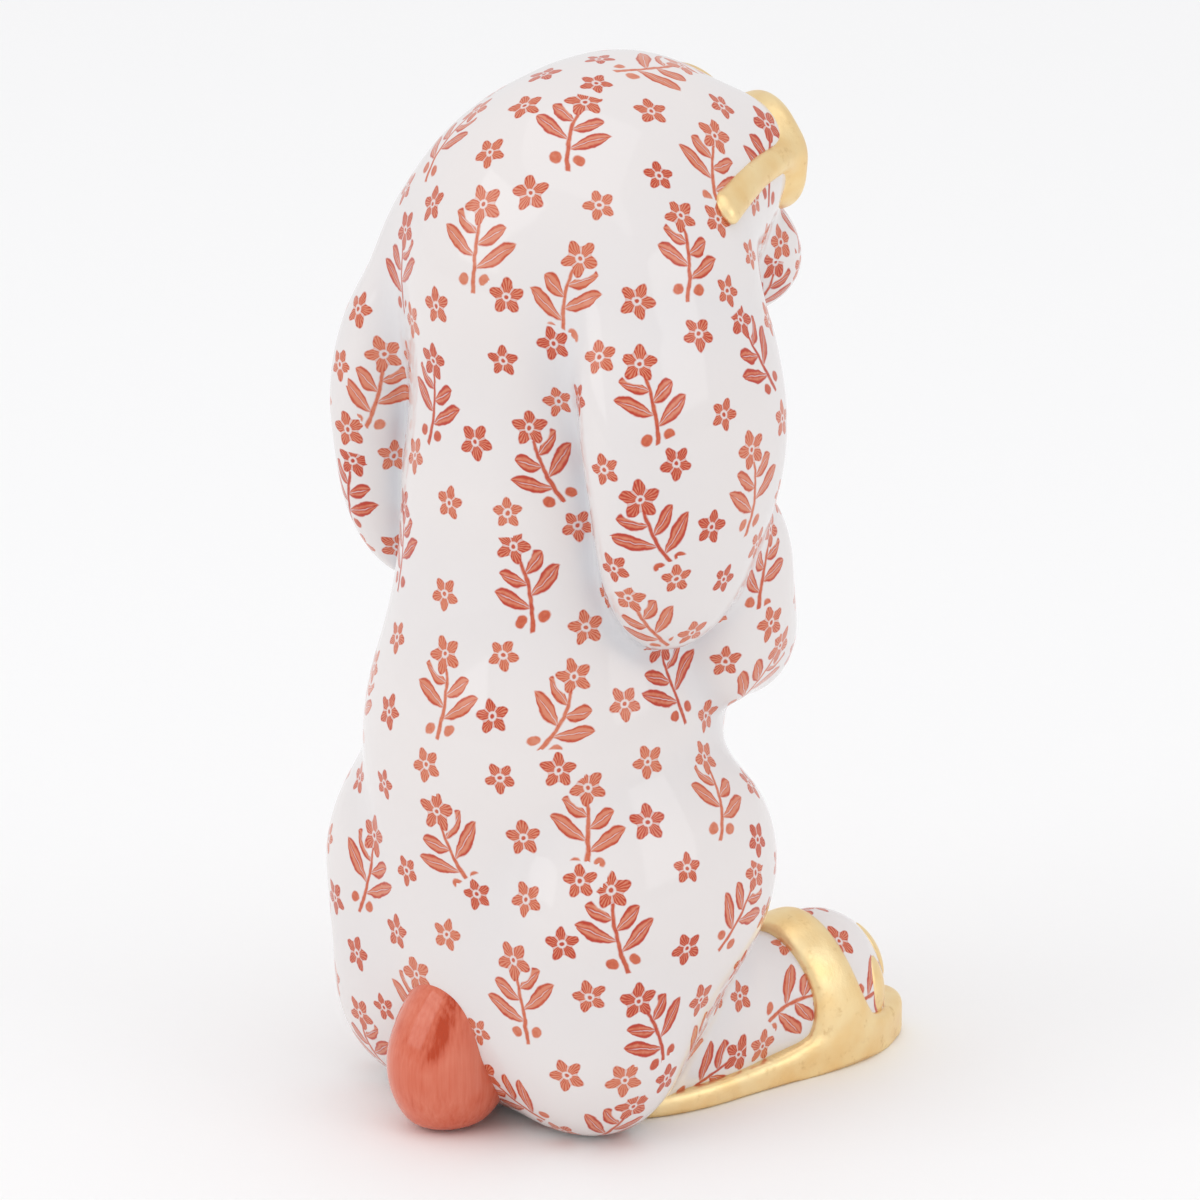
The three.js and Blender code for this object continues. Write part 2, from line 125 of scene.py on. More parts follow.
@dataclass(frozen=True)
class Lobe:
    """A rounded lump: a centre, three half sizes, and a turn in degrees about X (pitch) or Y (roll)."""

    centre: Triple
    half: Triple
    pitch: float = 0.0
    roll: float = 0.0

    def mirrored(self) -> Lobe:
        """The same lump on the rabbit's other side."""
        x, y, z = self.centre
        return Lobe((-x, y, z), self.half, self.pitch, -self.roll)

    def span(self) -> Triple:
        """How far the lump reaches along each axis at most."""
        return (max(self.half),) * 3 if self.pitch or self.roll else self.half

    def turn(self) -> Array:
        """Works out the lump's rotation.

        Returns:
            The rotation as a matrix.
        """
        pitch, roll = np.radians(self.pitch), np.radians(self.roll)
        about_x = [[1, 0, 0], [0, np.cos(pitch), -np.sin(pitch)], [0, np.sin(pitch), np.cos(pitch)]]
        about_y = [[np.cos(roll), 0, np.sin(roll)], [0, 1, 0], [-np.sin(roll), 0, np.cos(roll)]]
        return np.array(about_x) @ np.array(about_y)

    def outside(self, places: Array) -> Array:
        """Measures how far places lie outside the lump.

        Args:
            places: Rows of X, Y and Z.

        Returns:
            A distance for each place, about in millimetres and negative inside.
        """
        half = np.array(self.half)
        scaled = ((places - np.array(self.centre)) @ self.turn()) / half
        size, slope = length_of(scaled), length_of(scaled / half)
        return size * (size - 1) / np.maximum(slope, TINY)


@dataclass(frozen=True)
class Casting:
    """One casting: lumps that melt into each other."""

    lobes: tuple[Lobe, ...]
    softness: float

    def on(self, side: str) -> Casting:
        """A right side's casting, on the side that is named."""
        mirrored = Casting(tuple(lobe.mirrored() for lobe in self.lobes), self.softness)
        return self if side == "right" else mirrored

    def outside(self, places: Array) -> Array:
        """Measures how far places lie outside the casting.

        Args:
            places: Rows of X, Y and Z.

        Returns:
            A distance for each place, which is FAR for a place beyond the casting's reach.
        """
        centres = np.array([lobe.centre for lobe in self.lobes])
        half = np.array([lobe.span() for lobe in self.lobes])
        low, high = (centres - half).min(axis=0) - REACH, (centres + half).max(axis=0) + REACH
        near = np.all((places > low) & (places < high), axis=1)
        made = self.lobes[0].outside(places[near])
        for lobe in self.lobes[1:]:
            made = melt(made, lobe.outside(places[near]), self.softness)
        distance = np.full(len(places), FAR)
        distance[near] = made
        return distance


def slope_of(outside: Field, places: Array, reach: float = 0.05) -> Array:
    """Finds the direction in which a distance grows, measured on four points round each place.

    Args:
        outside: The form's distance.
        places: Where to measure.
        reach: How far the four points lie from each place along each axis.

    Returns:
        One gradient for each place.
    """
    corners = np.array([(1, -1, -1), (-1, -1, 1), (-1, 1, -1), (1, 1, 1)], float)
    around = np.concatenate([places + corner * reach for corner in corners])
    return (outside(around).reshape(4, -1).T @ corners) / (4 * reach)


def settle(outside: Field, places: Array, rounds: int, most: float) -> Array:
    """Moves places onto a form's surface.

    Args:
        outside: The form's distance.
        places: Places near the surface.
        rounds: How many steps to take.
        most: The longest step, in millimetres.

    Returns:
        The moved places.
    """
    for _ in range(rounds):
        gradient = slope_of(outside, places)
        step = outside(places) / np.maximum(length_of(gradient), SHALLOWEST) ** 2
        move = gradient * step[:, None]
        places = places - move / np.maximum(length_of(move) / most, 1.0)[:, None]
    return places


@dataclass
class Skin:
    """A closed surface of four-sided faces, with the outward direction at each corner."""

    corners: Array
    faces: Array
    normals: Array

    def middles(self) -> Array:
        """The middle of each face."""
        return self.corners[self.faces].mean(axis=1)

    def face_normals(self) -> Array:
        """The outward direction of each face."""
        return unit(self.normals[self.faces].sum(axis=1))


def neighbours(count: int, faces: Array) -> tuple[Array, Array]:
    """Finds the edges of a skin.

    Args:
        count: How many corners the skin has.
        faces: The corners of each face.

    Returns:
        The two ends of every edge, each way round.
    """
    ends = np.stack([faces, np.roll(faces, -1, axis=1)], axis=-1).reshape(-1, 2)
    first, second = np.divmod(np.unique(np.sort(ends, axis=1) @ np.array([count, 1])), count)
    return np.concatenate([first, second]), np.concatenate([second, first])


def skin_of(outside: Field, low: Triple, high: Triple, step: float) -> Skin:
    """Skins a form with a mesh of evenly spread four-sided faces.

    Args:
        outside: The form's distance.
        low: The lowest corner of a block that holds the form.
        high: Its highest corner.
        step: The width of a face, in millimetres.

    Returns:
        The skin, its faces pointing outwards.
    """
    axes = [np.arange(start, end + step, step) for start, end in zip(low, high)]
    grid = np.stack(np.meshgrid(*axes, indexing="ij"), axis=-1)
    values = outside(grid.reshape(-1, 3)).reshape(grid.shape[:3])
    inside = values < 0

    cells = [size - 1 for size in values.shape]
    windows = [tuple(slice(o, o + size) for o, size in zip(offset, cells)) for offset in CUBE]
    count = sum(inside[window].astype(np.int8) for window in windows)
    active = (count > 0) & (count < len(CUBE))
    index = np.full(cells, -1)
    index[active] = np.arange(active.sum())

    corner = [values[window][active] for window in windows]
    total, hits = 0.0, 0.0
    for first, second in EDGES:
        a, b = corner[first], corner[second]
        crossed = (a < 0) != (b < 0)
        share = np.where(crossed, a / np.where(crossed, a - b, 1.0), 0.0)
        place = np.array(CUBE[first]) + share[:, None] * np.subtract(CUBE[second], CUBE[first])
        total += np.where(crossed[:, None], place, 0.0)
        hits += crossed
    corners = (np.argwhere(active) + total / hits[:, None]) * step + np.array(low)

    faces = []
    for axis in range(3):
        here, there = [slice(1, -1)] * 3, [slice(1, -1)] * 3
        here[axis], there[axis] = slice(0, -1), slice(1, None)
        first, second = inside[tuple(here)], inside[tuple(there)]
        place = np.argwhere(first != second) + np.where(np.arange(3) == axis, 0, 1)
        one, other = np.roll(np.eye(3, dtype=int), -axis - 1, axis=0)[:2]
        backs = (one + other, other, 0, one)
        quads = np.stack([index[tuple((place - back).T)] for back in backs], axis=1)
        leaving = first[first != second]
        faces.append(np.where(leaving[:, None], quads, quads[:, ::-1]))
    faces = np.concatenate(faces)

    corners = settle(outside, corners, SETTLING_ROUNDS, step)
    start, end = neighbours(len(corners), faces)
    for _ in range(EVENING_ROUNDS):
        drift = mean_rows(start, corners[end], len(corners)) - corners
        normal = unit(slope_of(outside, corners))
        drift -= normal * dot(drift, normal)[:, None]
        corners = settle(outside, corners + EVENING_SHARE * drift, 1, 0.5 * step)
    return Skin(corners, faces, unit(slope_of(outside, corners, NORMAL_REACH)))


@dataclass
class Shell(Skin):
    """A closed shell cut out of a skin: the faces that show, a copy set inwards, and the rim between them.

    `source` gives the skin's face for each face that shows. Those come first.
    """

    source: Array

    def numbers(self, of_skin: Array, hidden: float) -> Array:
        """The numbers of the skin's faces for those that show, and one number for the hidden ones."""
        rest = np.full((len(self.faces) - len(self.source), *of_skin.shape[1:]), hidden)
        return np.concatenate([of_skin[self.source], rest])


def shell_of(skin: Skin, chosen: Array, wall: float) -> Shell:
    """Cuts some faces out of a skin as a closed shell.

    Args:
        skin: The whole skin.
        chosen: Which of its faces to keep, as true or false for each face.
        wall: How thick the shell is, in millimetres.

    Returns:
        The shell.
    """
    kept = np.flatnonzero(chosen)
    used, flat = np.unique(skin.faces[kept], return_inverse=True)
    faces, count = flat.reshape(-1, 4), len(used)
    start, end = faces.reshape(-1), np.roll(faces, -1, axis=1).reshape(-1)
    lone = ~np.isin(start * count + end, end * count + start)
    a, b = start[lone], end[lone]
    rim = np.stack([b, a, a + count, b + count], axis=1)
    outer, outward = skin.corners[used], skin.normals[used]
    return Shell(
        np.concatenate([outer, outer - wall * outward]),
        np.concatenate([faces, faces[:, ::-1] + count, rim]),
        np.concatenate([outward, -outward]),
        kept,
    )


class Slot(Enum):
    """The record's material slots."""

    WHITE_GLAZE = "white_glaze"
    RED_GLAZE = "red_glaze"
    GILDING = "gilding"


def operator(operation: str, swapped: bool = False) -> Callable[..., Value]:
    """Writes a method that adds one Math node to a value's tree.

    Args:
        operation: Blender's name for the operation.
        swapped: Whether the value comes after the other side.

    Returns:
        The method.
    """

    def method(value: Value, *others: Value | float) -> Value:
        """Adds the node and gives its result."""
        sides = (*others, value) if swapped else (value, *others)
        return value.nodes.value("ShaderNodeMath", {"operation": operation}, dict(enumerate(sides)))

    return method


class Value:
    """A number that changes over a surface. Arithmetic on it adds Math nodes to its tree."""

    __add__ = __radd__ = operator("ADD")
    __sub__ = operator("SUBTRACT")
    __rsub__ = operator("SUBTRACT", swapped=True)
    __mul__ = __rmul__ = operator("MULTIPLY")
    __truediv__ = operator("DIVIDE")
    __abs__ = operator("ABSOLUTE")
    or_more = operator("MAXIMUM")
    or_less = operator("MINIMUM")
    exceeds = operator("GREATER_THAN")
    bearing = operator("ARCTAN2")
    root = operator("SQRT")
    sign = operator("SIGN")
    floor = operator("FLOOR")
    nearest = operator("ROUND")
    fraction = operator("FRACT")
    cosine = operator("COSINE")

    def __init__(self, nodes: Nodes, socket: Socket) -> None:
        """Wraps an output socket of a node tree."""
        self.nodes, self.socket = nodes, socket

    def below(self, edge: Value | float, soft: float = 0.05) -> Value:
        """1 where this value is below an edge and 0 above it, over a soft border."""
        settings = {"operation": "MULTIPLY_ADD", "use_clamp": True}
        return self.nodes.value("ShaderNodeMath", settings, {0: edge - self, 1: 0.5 / soft, 2: 0.5})

    def above(self, edge: Value | float, soft: float = 0.05) -> Value:
        """1 where this value is above an edge and 0 below it, over a soft border."""
        return 1 - self.below(edge, soft)


def from_middle(one: Value, other: Value, weight: float = 1.0) -> Value:
    """How far a place is from a drawing's middle, by its two offsets; the other one's square has a weight."""
    return (one * one + other * other * weight).root()


class Nodes:
    """A node tree, of a finish or of a geometry modifier, that is built one node at a time."""

    def __init__(self, tree: Tree) -> None:
        """Takes an empty tree."""
        self.tree = tree

    def node(
        self, kind: str, settings: dict | None = None, inputs: dict | None = None, output: int | str = 0
    ) -> Socket | None:
        """Adds any node.

        Args:
            kind: Blender's name for the node.
            settings: Its properties, by name.
            inputs: A number, a colour, a Value or another node's socket for each input, by name or place.
            output: Which of its outputs to give back.

        Returns:
            The output socket, if the node has one.
        """
        made = self.tree.nodes.new(kind)
        for name, value in (settings or {}).items():
            setattr(made, name, value)
        for place, value in (inputs or {}).items():
            value = value.socket if isinstance(value, Value) else value
            if isinstance(value, Socket):
                self.tree.links.new(value, made.inputs[place])
            else:
                made.inputs[place].default_value = value
        return made.outputs[output] if made.outputs else None

    def value(self, *arguments: object, **named: object) -> Value:
        """Adds any node and wraps its output for arithmetic."""
        return Value(self, self.node(*arguments, **named))

    def split(self, vector: Socket) -> tuple[Value, Value, Value]:
        """The three numbers of a vector."""
        made = self.node("ShaderNodeSeparateXYZ", inputs={0: vector}).node
        return tuple(Value(self, socket) for socket in made.outputs)


class Shade(Nodes):
    """The node tree of one finish."""

    def __init__(self, name: str) -> None:
        """Starts an empty material.

        Args:
            name: The material's name.
        """
        self.material = bpy.data.materials.new(name)
        self.material.use_nodes = True
        super().__init__(self.material.node_tree)
        self.tree.nodes.clear()

    def places(self) -> Socket:
        """Places on the piece in millimetres, from its Object coordinates."""
        inputs = {0: self.node("ShaderNodeTexCoord", output="Object"), "Scale": 1 / MM}
        return self.node("ShaderNodeVectorMath", {"operation": "SCALE"}, inputs)

    def noise(self, places: Socket, scale: float, detail: float = 2.0) -> Value:
        """Soft noise between 0 and 1, with about one patch in each 1 / scale millimetres."""
        return self.value("ShaderNodeTexNoise", inputs={"Vector": places, "Scale": scale, "Detail": detail})

    def blend(self, share: Value | float, first: object, second: object) -> Socket:
        """Mixes two colours, given as sockets or as (red, green, blue)."""
        sides = [(*side, 1.0) if isinstance(side, tuple) else side for side in (first, second)]
        return self.node("ShaderNodeMix", {"data_type": "RGBA"}, {0: share, 6: sides[0], 7: sides[1]}, 2)

    def ramp(self, tone: Value, middle: float, *colours: Triple) -> Socket:
        """Turns a tone between 0 and 1 into a colour.

        Args:
            tone: The tone.
            middle: The tone that has the second colour.
            colours: The colours at 0, at the middle and at 1.

        Returns:
            The colour.
        """
        made = self.node("ShaderNodeValToRGB", inputs={0: tone}).node
        stops = made.color_ramp.elements
        stops.new(middle)
        for stop, place, colour in zip(stops, (0.0, middle, 1.0), colours):
            stop.position, stop.color = place, (*colour, 1.0)
        return made.outputs[0]

    def finish(self, surface: dict[str, object], bump: Value, height: float) -> Material:
        """Ends the tree in a shader.

        Args:
            surface: The shader's inputs.
            bump: The height of the surface's relief, between 0 and 1.
            height: How high that relief is, in millimetres.

        Returns:
            The finished material.
        """
        relief = self.node("ShaderNodeBump", inputs={"Height": bump, "Distance": height * MM})
        shader = self.node("ShaderNodeBsdfPrincipled", inputs={**surface, "Normal": relief})
        self.node("ShaderNodeOutputMaterial", inputs={"Surface": shader})
        return self.material


@dataclass(frozen=True)
class PaintedFace:
    """The eyes, the nose, the mouth and the whisker dots, painted on the head in millimetres."""

    eye: Triple = (5.0, -13.3, 78.8)
    eye_wrap: float = 15.0
    eye_flat: float = 0.62
    iris_radius: float = 1.5
    pupil_radius: float = 1.0
    lid_radius: float = 2.25
    lid_drop: float = 0.6
    glint_place: Pair = (0.25, 0.75)
    glint_radius: float = 0.33
    nose_height: float = 72.75
    nose_radius: float = 0.85
    nose_narrow: float = 0.42
    groove_height: float = 71.0
    groove_half: float = 1.05
    smile_height: float = 70.25
    smile_radius: float = 1.15
    dots_place: Pair = (3.3, 71.2)
    dots_spacing: float = 0.9
    muzzle: float = -12.4
    iris: Triple = (0.16, 0.035, 0.012)
    pupil: Triple = (0.012, 0.008, 0.008)
    glint: Triple = (0.9, 0.9, 0.9)

    def paint(self, shade: Shade, places: Socket, colour: Socket, ink: Triple) -> Socket:
        """Paints the face.

        Args:
            shade: The tree to draw in.
            places: Places in millimetres.
            colour: The colour of the glaze with its brushwork.
            ink: The colour of the nose, the mouth and the dots.

        Returns:
            The colour with the face painted on it.
        """
        x, y, z = shade.split(places)
        beside = abs(x)
        eye_x, eye_y, eye_z = self.eye
        turn = np.radians(self.eye_wrap)
        front = y.below(eye_y + 2.0, 0.2)
        outward = (beside - eye_x) * float(np.cos(turn)) + (y - eye_y) * float(np.sin(turn))
        upward = z - eye_z
        radius = from_middle(outward, upward, self.eye_flat)
        lid = abs(from_middle(outward, upward + self.lid_drop, 0.8) - self.lid_radius).below(0.13)
        lid = lid * (upward - abs(outward) * 0.35).above(0.3, 0.15)
        glint_x = x - self.glint_place[0] - x.sign() * eye_x
        glint = from_middle(glint_x, upward - self.glint_place[1]).below(self.glint_radius)
        layers = (
            (radius.below(self.iris_radius), self.iris),
            (radius.below(self.pupil_radius), self.pupil),
            (lid, self.iris),
            (glint, self.glint),
        )
        for cover, paint in layers:
            colour = shade.blend(cover * front, colour, paint)

        nose = from_middle(z - self.nose_height, x, self.nose_narrow).below(self.nose_radius, 0.08)
        groove = beside.below(0.1) * abs(z - self.groove_height).below(self.groove_half)
        smile_x, smile_z = beside - self.smile_radius, z - self.smile_height
        smile = abs(from_middle(smile_x, smile_z) - self.smile_radius).below(0.11) * smile_z.below(0.1)
        dots_x = (beside - self.dots_place[0]) / self.dots_spacing
        dots_z = (z - self.dots_place[1] + beside * 0.12) / self.dots_spacing
        dots = from_middle(dots_x - dots_x.nearest(), dots_z - dots_z.nearest()).below(0.17)
        dots = dots * abs(dots_x).below(1.4) * abs(dots_z).below(1.4)
        lines = nose.or_more(groove).or_more(smile).or_more(dots) * y.below(self.muzzle, 0.3)
        return shade.blend(lines, colour, ink)


@dataclass(frozen=True)
class GlazeFinish:
    """White porcelain under a clear gloss glaze, with sprigs brushed on in iron red."""

    white: Triple = (0.79, 0.745, 0.730)
    # painted shade: the blue-grey that the glaze is darkened to in creases, standing for shade there as well
    # as for glaze that pools there
    crease_shade_colour: Triple = (0.56, 0.61, 0.68)
    biscuit: Triple = (0.78, 0.76, 0.72)
    pale_red: Triple = (0.67, 0.225, 0.130)
    mid_red: Triple = (0.60, 0.120, 0.046)
    deep_red: Triple = (0.48, 0.026, 0.002)
    # how strongly the creases are darkened by that painted shade
    crease_shade_strength: float = 0.75
    opacity: float = 0.985
    bare_height: float = 0.12
    size: float = 1.3
    shake: float = 0.3
    sink: float = 0.35
    bend: float = 1.7
    stem_half: float = 0.13
    stem_taper: float = 0.012
    stem_ends: Pair = (-3.1, 1.7)
    leaf_rows: Pair = (-2.2, 0.9)
    leaf_spacing: float = 1.5
    leaf_rake: float = 0.65
    leaf_drop: float = 0.45
    leaf_length: float = 2.15
    leaf_taper: float = 0.50
    leaf_breadth: float = 2.55
    leaf_veins: float = 9.0
    petals: int = 5
    petal_notch: float = 0.20
    petal_gap: float = 0.62
    blossom_radius: float = 1.3
    blossom_height: float = 2.5
    floret_radius: float = 1.15
    heart_radius: float = 0.30
    pip_radius: float = 0.15
    berry_place: Pair = (0.75, -2.25)
    berry_radius: float = 0.38

    def material(self) -> Material:
        """Builds the glaze.

        Returns:
            The finished material.
        """
        shade = Shade("white_glaze_with_brushwork")
        places = shade.places()
        cover, tone = self.brushwork(shade, places)
        tone = (tone + (shade.noise(places, 2.5, 3.0) - 0.5)).or_more(0.0).or_less(1.0)
        paint = shade.ramp(tone, 0.45, self.pale_red, self.mid_red, self.deep_red)
        # painted shade: the glaze darkens towards blue-grey by how deep each place sits in a crease
        crease_shade_share = shade.value("ShaderNodeAttribute", {"attribute_name": "crease"}, output="Fac")
        body = shade.blend(crease_shade_share * self.crease_shade_strength, self.white, self.crease_shade_colour)
        _, _, height = shade.split(places)
        ground = height.below(self.bare_height, 0.06)
        body = shade.blend(ground, body, self.biscuit)
        colour = shade.blend(cover * self.opacity, body, paint)
        colour = PaintedFace().paint(shade, places, colour, self.mid_red)
        waves = shade.noise(places, 0.22, 1.0) + cover * 0.03
        roughness = 0.09 + cover * 0.06 + ground * 0.5
        surface = {"Base Color": colour, "Roughness": roughness, "Coat Weight": 1 - ground}
        return shade.finish({**surface, **GLOSS}, waves, 0.12)

    def brushwork(self, shade: Shade, places: Socket) -> tuple[Value, Value]:
        """Draws one sprig, or one small floret, round the middle of each patch of the brushwork's map.

        Args:
            shade: The tree to draw in.
            places: Places in millimetres.

        Returns:
            How much paint there is, and how deep its colour is.
        """
        noise = {"Vector": places, "Scale": 0.9, "Detail": 2.0}
        shake_x, shake_y, _ = shade.split(shade.node("ShaderNodeTexNoise", inputs=noise, output=1))
        map_x, map_y, _ = shade.split(shade.node("ShaderNodeUVMap", {"uv_map": "brushwork"}))
        across = map_x / self.size + (shake_x - 0.5) * self.shake
        up = map_y / self.size + self.sink + (shake_y - 0.5) * self.shake
        seed, clear, _ = shade.split(shade.node("ShaderNodeUVMap", {"uv_map": "motif"}))
        floret = seed.exceeds(1.0)
        up = up - floret * self.sink
        sprig = 1 - floret
        own = [(seed * factor).fraction() for factor in (1.0, 17.13, 43.71, 91.97)]

        bend = (own[1] - 0.5) * self.bend
        off_stem = across - bend * (up * up * 0.09 - 0.35)
        side, out = off_stem.sign(), abs(off_stem)
        foot, tip = self.stem_ends
        stem = out.below(self.stem_half - self.stem_taper * up) * up.above(foot) * up.below(tip) * sprig

        step = self.leaf_spacing
        row = (up + self.leaf_drop - out * self.leaf_rake + side * (step / 4)) / step
        cell = row.floor()
        base = (cell + 0.5) * step
        over = (row - cell - 0.5) * step
        length = (self.leaf_length - base * self.leaf_taper) * (0.85 + 0.3 * own[2])
        share = out / length.or_more(0.3)
        half = share * (1 - share * share) * (self.leaf_breadth / 1.6)
        grows = base.above(self.leaf_rows[0]) * base.below(self.leaf_rows[1]) * sprig
        leaf = abs(over).below(half) * grows * share.below(1.0)
        veins = (over / (half + 0.08) * self.leaf_veins).cosine() * 0.5 + 0.5
        leaf_edge = (half - abs(over)).below(0.09) * leaf
        midrib = abs(over).below(0.03, 0.03) * share.below(0.8, 0.1) * leaf

        top_x = across - bend * 0.13 * sprig
        top_y = up - self.blossom_height * sprig
        radius = from_middle(top_x, top_y)
        angle = top_y.bearing(top_x) + own[3] * 6.28
        lobes = (angle * self.petals).cosine()
        size = self.floret_radius + (self.blossom_radius - self.floret_radius) * sprig
        size = size * (0.88 + 0.22 * own[2])
        rim = size * (1 - self.petal_notch + self.petal_notch * lobes)
        petal = radius.below(rim)
        heart = radius.below(self.heart_radius, 0.04)
        pip = radius.below(self.pip_radius, 0.04)
        petal_streaks = (angle * (6 * self.petals)).cosine() * 0.5 + 0.5
        petal_edge = (rim - radius).below(0.10) * petal
        petal_gap = lobes.below(-0.86, 0.06) * radius.below(size * self.petal_gap, 0.1)

        from_berry = from_middle(out - self.berry_place[0], up - self.berry_place[1])
        berry = from_berry.below(self.berry_radius) * sprig

        leaves = leaf * (1 - midrib * 0.75) * radius.above(size + 0.1)
        blossom = petal * (1 - heart * 0.85) * (1 - petal_gap * 0.6)
        cover = stem.or_more(leaves).or_more(blossom).or_more(pip).or_more(berry) * clear.above(0.12, 0.12)
        tone = 0.05 + 0.70 * own[0] + (veins - 0.5) * leaf + leaf_edge * 0.35 + stem * 0.15 + pip * 0.4
        return cover, tone + (petal_streaks - 0.5) * 0.95 * petal + petal_edge * 0.35


@dataclass(frozen=True)
class TailFinish:
    """Iron-red enamel laid on in upright strokes, under the gloss glaze."""

    pale_red: Triple = (0.72, 0.195, 0.115)
    mid_red: Triple = (0.65, 0.135, 0.068)
    deep_red: Triple = (0.48, 0.042, 0.002)
    stroke: Triple = (3.2, 3.2, 0.16)
    mark_centre: Pair = (20.4, 9.2)
    mark_lean: float = 0.42
    mark_half: float = 0.8
    mark_foot: float = 6.8

    def material(self) -> Material:
        """Builds the enamel.

        Returns:
            The finished material.
        """
        shade = Shade("iron_red_enamel")
        places = shade.places()
        stretched = shade.node("ShaderNodeMapping", inputs={"Vector": places, "Scale": self.stroke})
        strokes = shade.noise(stretched, 1.0, 4.0)
        patches = shade.noise(places, 0.32, 1.0)
        x, y, z = shade.split(places)
        centre_y, centre_z = self.mark_centre
        across = (x + y - centre_y) * -float(np.sqrt(0.5)) - (z - centre_z) * self.mark_lean
        mark = abs(across).below(self.mark_half, 0.6) * z.above(self.mark_foot, 0.8)
        tone = (strokes - 0.5) * 1.1 + (patches - 0.5) * 0.8 + 0.32 + mark * (0.3 + strokes * 0.6)
        colour = shade.ramp(tone, 0.5, self.pale_red, self.mid_red, self.deep_red)
        surface = {"Base Color": colour, "Roughness": 0.12 + strokes * 0.08, "Coat Weight": 1.0}
        return shade.finish({**surface, **GLOSS}, strokes, 0.03)


@dataclass(frozen=True)
class GildingFinish:
    """Burnished gold on porcelain, between satin and bright, with a few brown smudges."""

    gold: Triple = (0.90, 0.635, 0.30)
    pale: Triple = (0.95, 0.75, 0.42)
    smudge: Triple = (0.66, 0.44, 0.20)

    def material(self) -> Material:
        """Builds the gilding.

        Returns:
            The finished material.
        """
        shade = Shade("burnished_gilding")
        places = shade.places()
        broad, fine, grain = (shade.noise(places, *size) for size in ((0.35, 2.0), (2.6, 3.0), (11.0, 2.0)))
        worn = shade.noise(places, 0.8, 3.0).above(0.66, 0.07)
        colour = shade.blend(broad.above(0.5, 0.2), self.gold, self.pale)
        colour = shade.blend(worn * fine.above(0.45, 0.1) * 0.55, colour, self.smudge)
        roughness = 0.22 + broad * 0.16 + fine * 0.10 + worn * 0.12
        surface = {"Base Color": colour, "Roughness": roughness, "Metallic": 1.0}
        return shade.finish(surface, broad * 0.6 + fine * 0.3 + grain * 0.1, 0.10)


@dataclass(frozen=True)
class TableFinish:
    """The plain pale table top."""

    colour: Triple = (0.96, 0.955, 0.95)
    grain: Triple = (0.86, 0.86, 0.86)

    def material(self) -> Material:
        """Builds the table top.

        Returns:
            The finished material.
        """
        shade = Shade("pale_table")
        grain = shade.noise(shade.places(), 0.8, 3.0)
        colour = shade.blend(grain * 0.04, self.colour, self.grain)
        return shade.finish({"Base Color": colour, "Roughness": 0.6}, grain, 0.02)


@dataclass(frozen=True)
class Maker:
    """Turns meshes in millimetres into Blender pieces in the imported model's frame.

    `shift` is the way from the centre of the footprint to the modeller's origin, in millimetres.
    """

    shift: Triple = (0.0, 3.366, 0.0)

    def piece_of(self, name: str, places: Array) -> Piece:
        """Makes an object at the origin whose mesh is only points.

        Args:
            name: The piece's name.
            places: The points, in millimetres.

        Returns:
            The object.
        """
        mesh = bpy.data.meshes.new(name)
        in_frame = (places + np.array(self.shift)) * MM
        mesh.vertices.add(len(places))
        mesh.vertices.foreach_set("co", in_frame.astype(np.float32).reshape(-1))
        piece = bpy.data.objects.new(name, mesh)
        bpy.context.scene.collection.objects.link(piece)
        return piece

    def mesh(self, name: str, skin: Skin, maps: dict[str, Array], levels: dict[str, Array]) -> Piece:
        """Makes a piece from a skin or a shell.

        Args:
            name: The piece's name.
            skin: Its corners and faces, in millimetres.
            maps: UV maps, with two numbers for each corner of each face.
            levels: Attributes, with one number for each corner of the mesh.

        Returns:
            The object.
        """
        piece = self.piece_of(name, skin.corners)
        mesh, count = piece.data, len(skin.faces)
        mesh.loops.add(skin.faces.size)
        mesh.loops.foreach_set("vertex_index", skin.faces.astype(np.int32).reshape(-1))
        mesh.polygons.add(count)
        mesh.polygons.foreach_set("loop_start", np.arange(0, skin.faces.size, 4, dtype=np.int32))
        mesh.polygons.foreach_set("use_smooth", np.ones(count, bool))
        for map_name, numbers in maps.items():
            layer = mesh.uv_layers.new(name=map_name)
            layer.uv.foreach_set("vector", numbers.astype(np.float32).reshape(-1))
        for level_name, numbers in levels.items():
            layer = mesh.attributes.new(level_name, "FLOAT", "POINT")
            layer.data.foreach_set("value", numbers.astype(np.float32))
        mesh.update(calc_edges=True)
        mesh.normals_split_custom_set_from_vertices(skin.normals.tolist())
        return piece

    def grown(
        self, name: str, places: Array, ways: dict[str, Array], tree: Tree, sizes: dict[str, float]
    ) -> Piece:
        """Lets a geometry node tree make a piece on some points.

        Args:
            name: The piece's name.
            places: The points, in millimetres.
            ways: Directions at the points, by the name of their attribute.
            tree: The tree.
            sizes: The tree's inputs in millimetres, by name.

        Returns:
            The object, with a plain mesh.
        """
        piece = self.piece_of(name, places)
        for way, directions in ways.items():
            layer = piece.data.attributes.new(way, "FLOAT_VECTOR", "POINT")
            layer.data.foreach_set("vector", directions.astype(np.float32).reshape(-1))
        modifier = piece.modifiers.new("grown", "NODES")
        modifier.node_group = tree
        for item in tree.interface.items_tree:
            if item.in_out == "INPUT" and item.name in sizes:
                modifier[item.identifier] = sizes[item.name] * MM
        evaluated = piece.evaluated_get(bpy.context.evaluated_depsgraph_get())
        plain = bpy.data.meshes.new_from_object(evaluated)
        piece.modifiers.remove(modifier)
        piece.data = plain
        return piece

    def dress(self, piece: Piece, finish: Material, slot: Slot, *nodes: str) -> None:
        """Gives a piece its finish and seats it on its body.

        Args:
            piece: The piece.
            finish: Its finish.
            slot: The finish's slot in the record; not used.
            nodes: The CAD nodes that the piece stands for.
        """
        piece.data.materials.clear()
        piece.data.materials.append(finish)
        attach(piece, "root")
        if nodes:
            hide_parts(*nodes)
        log.info("%s: %d faces", piece.name, len(piece.data.polygons))


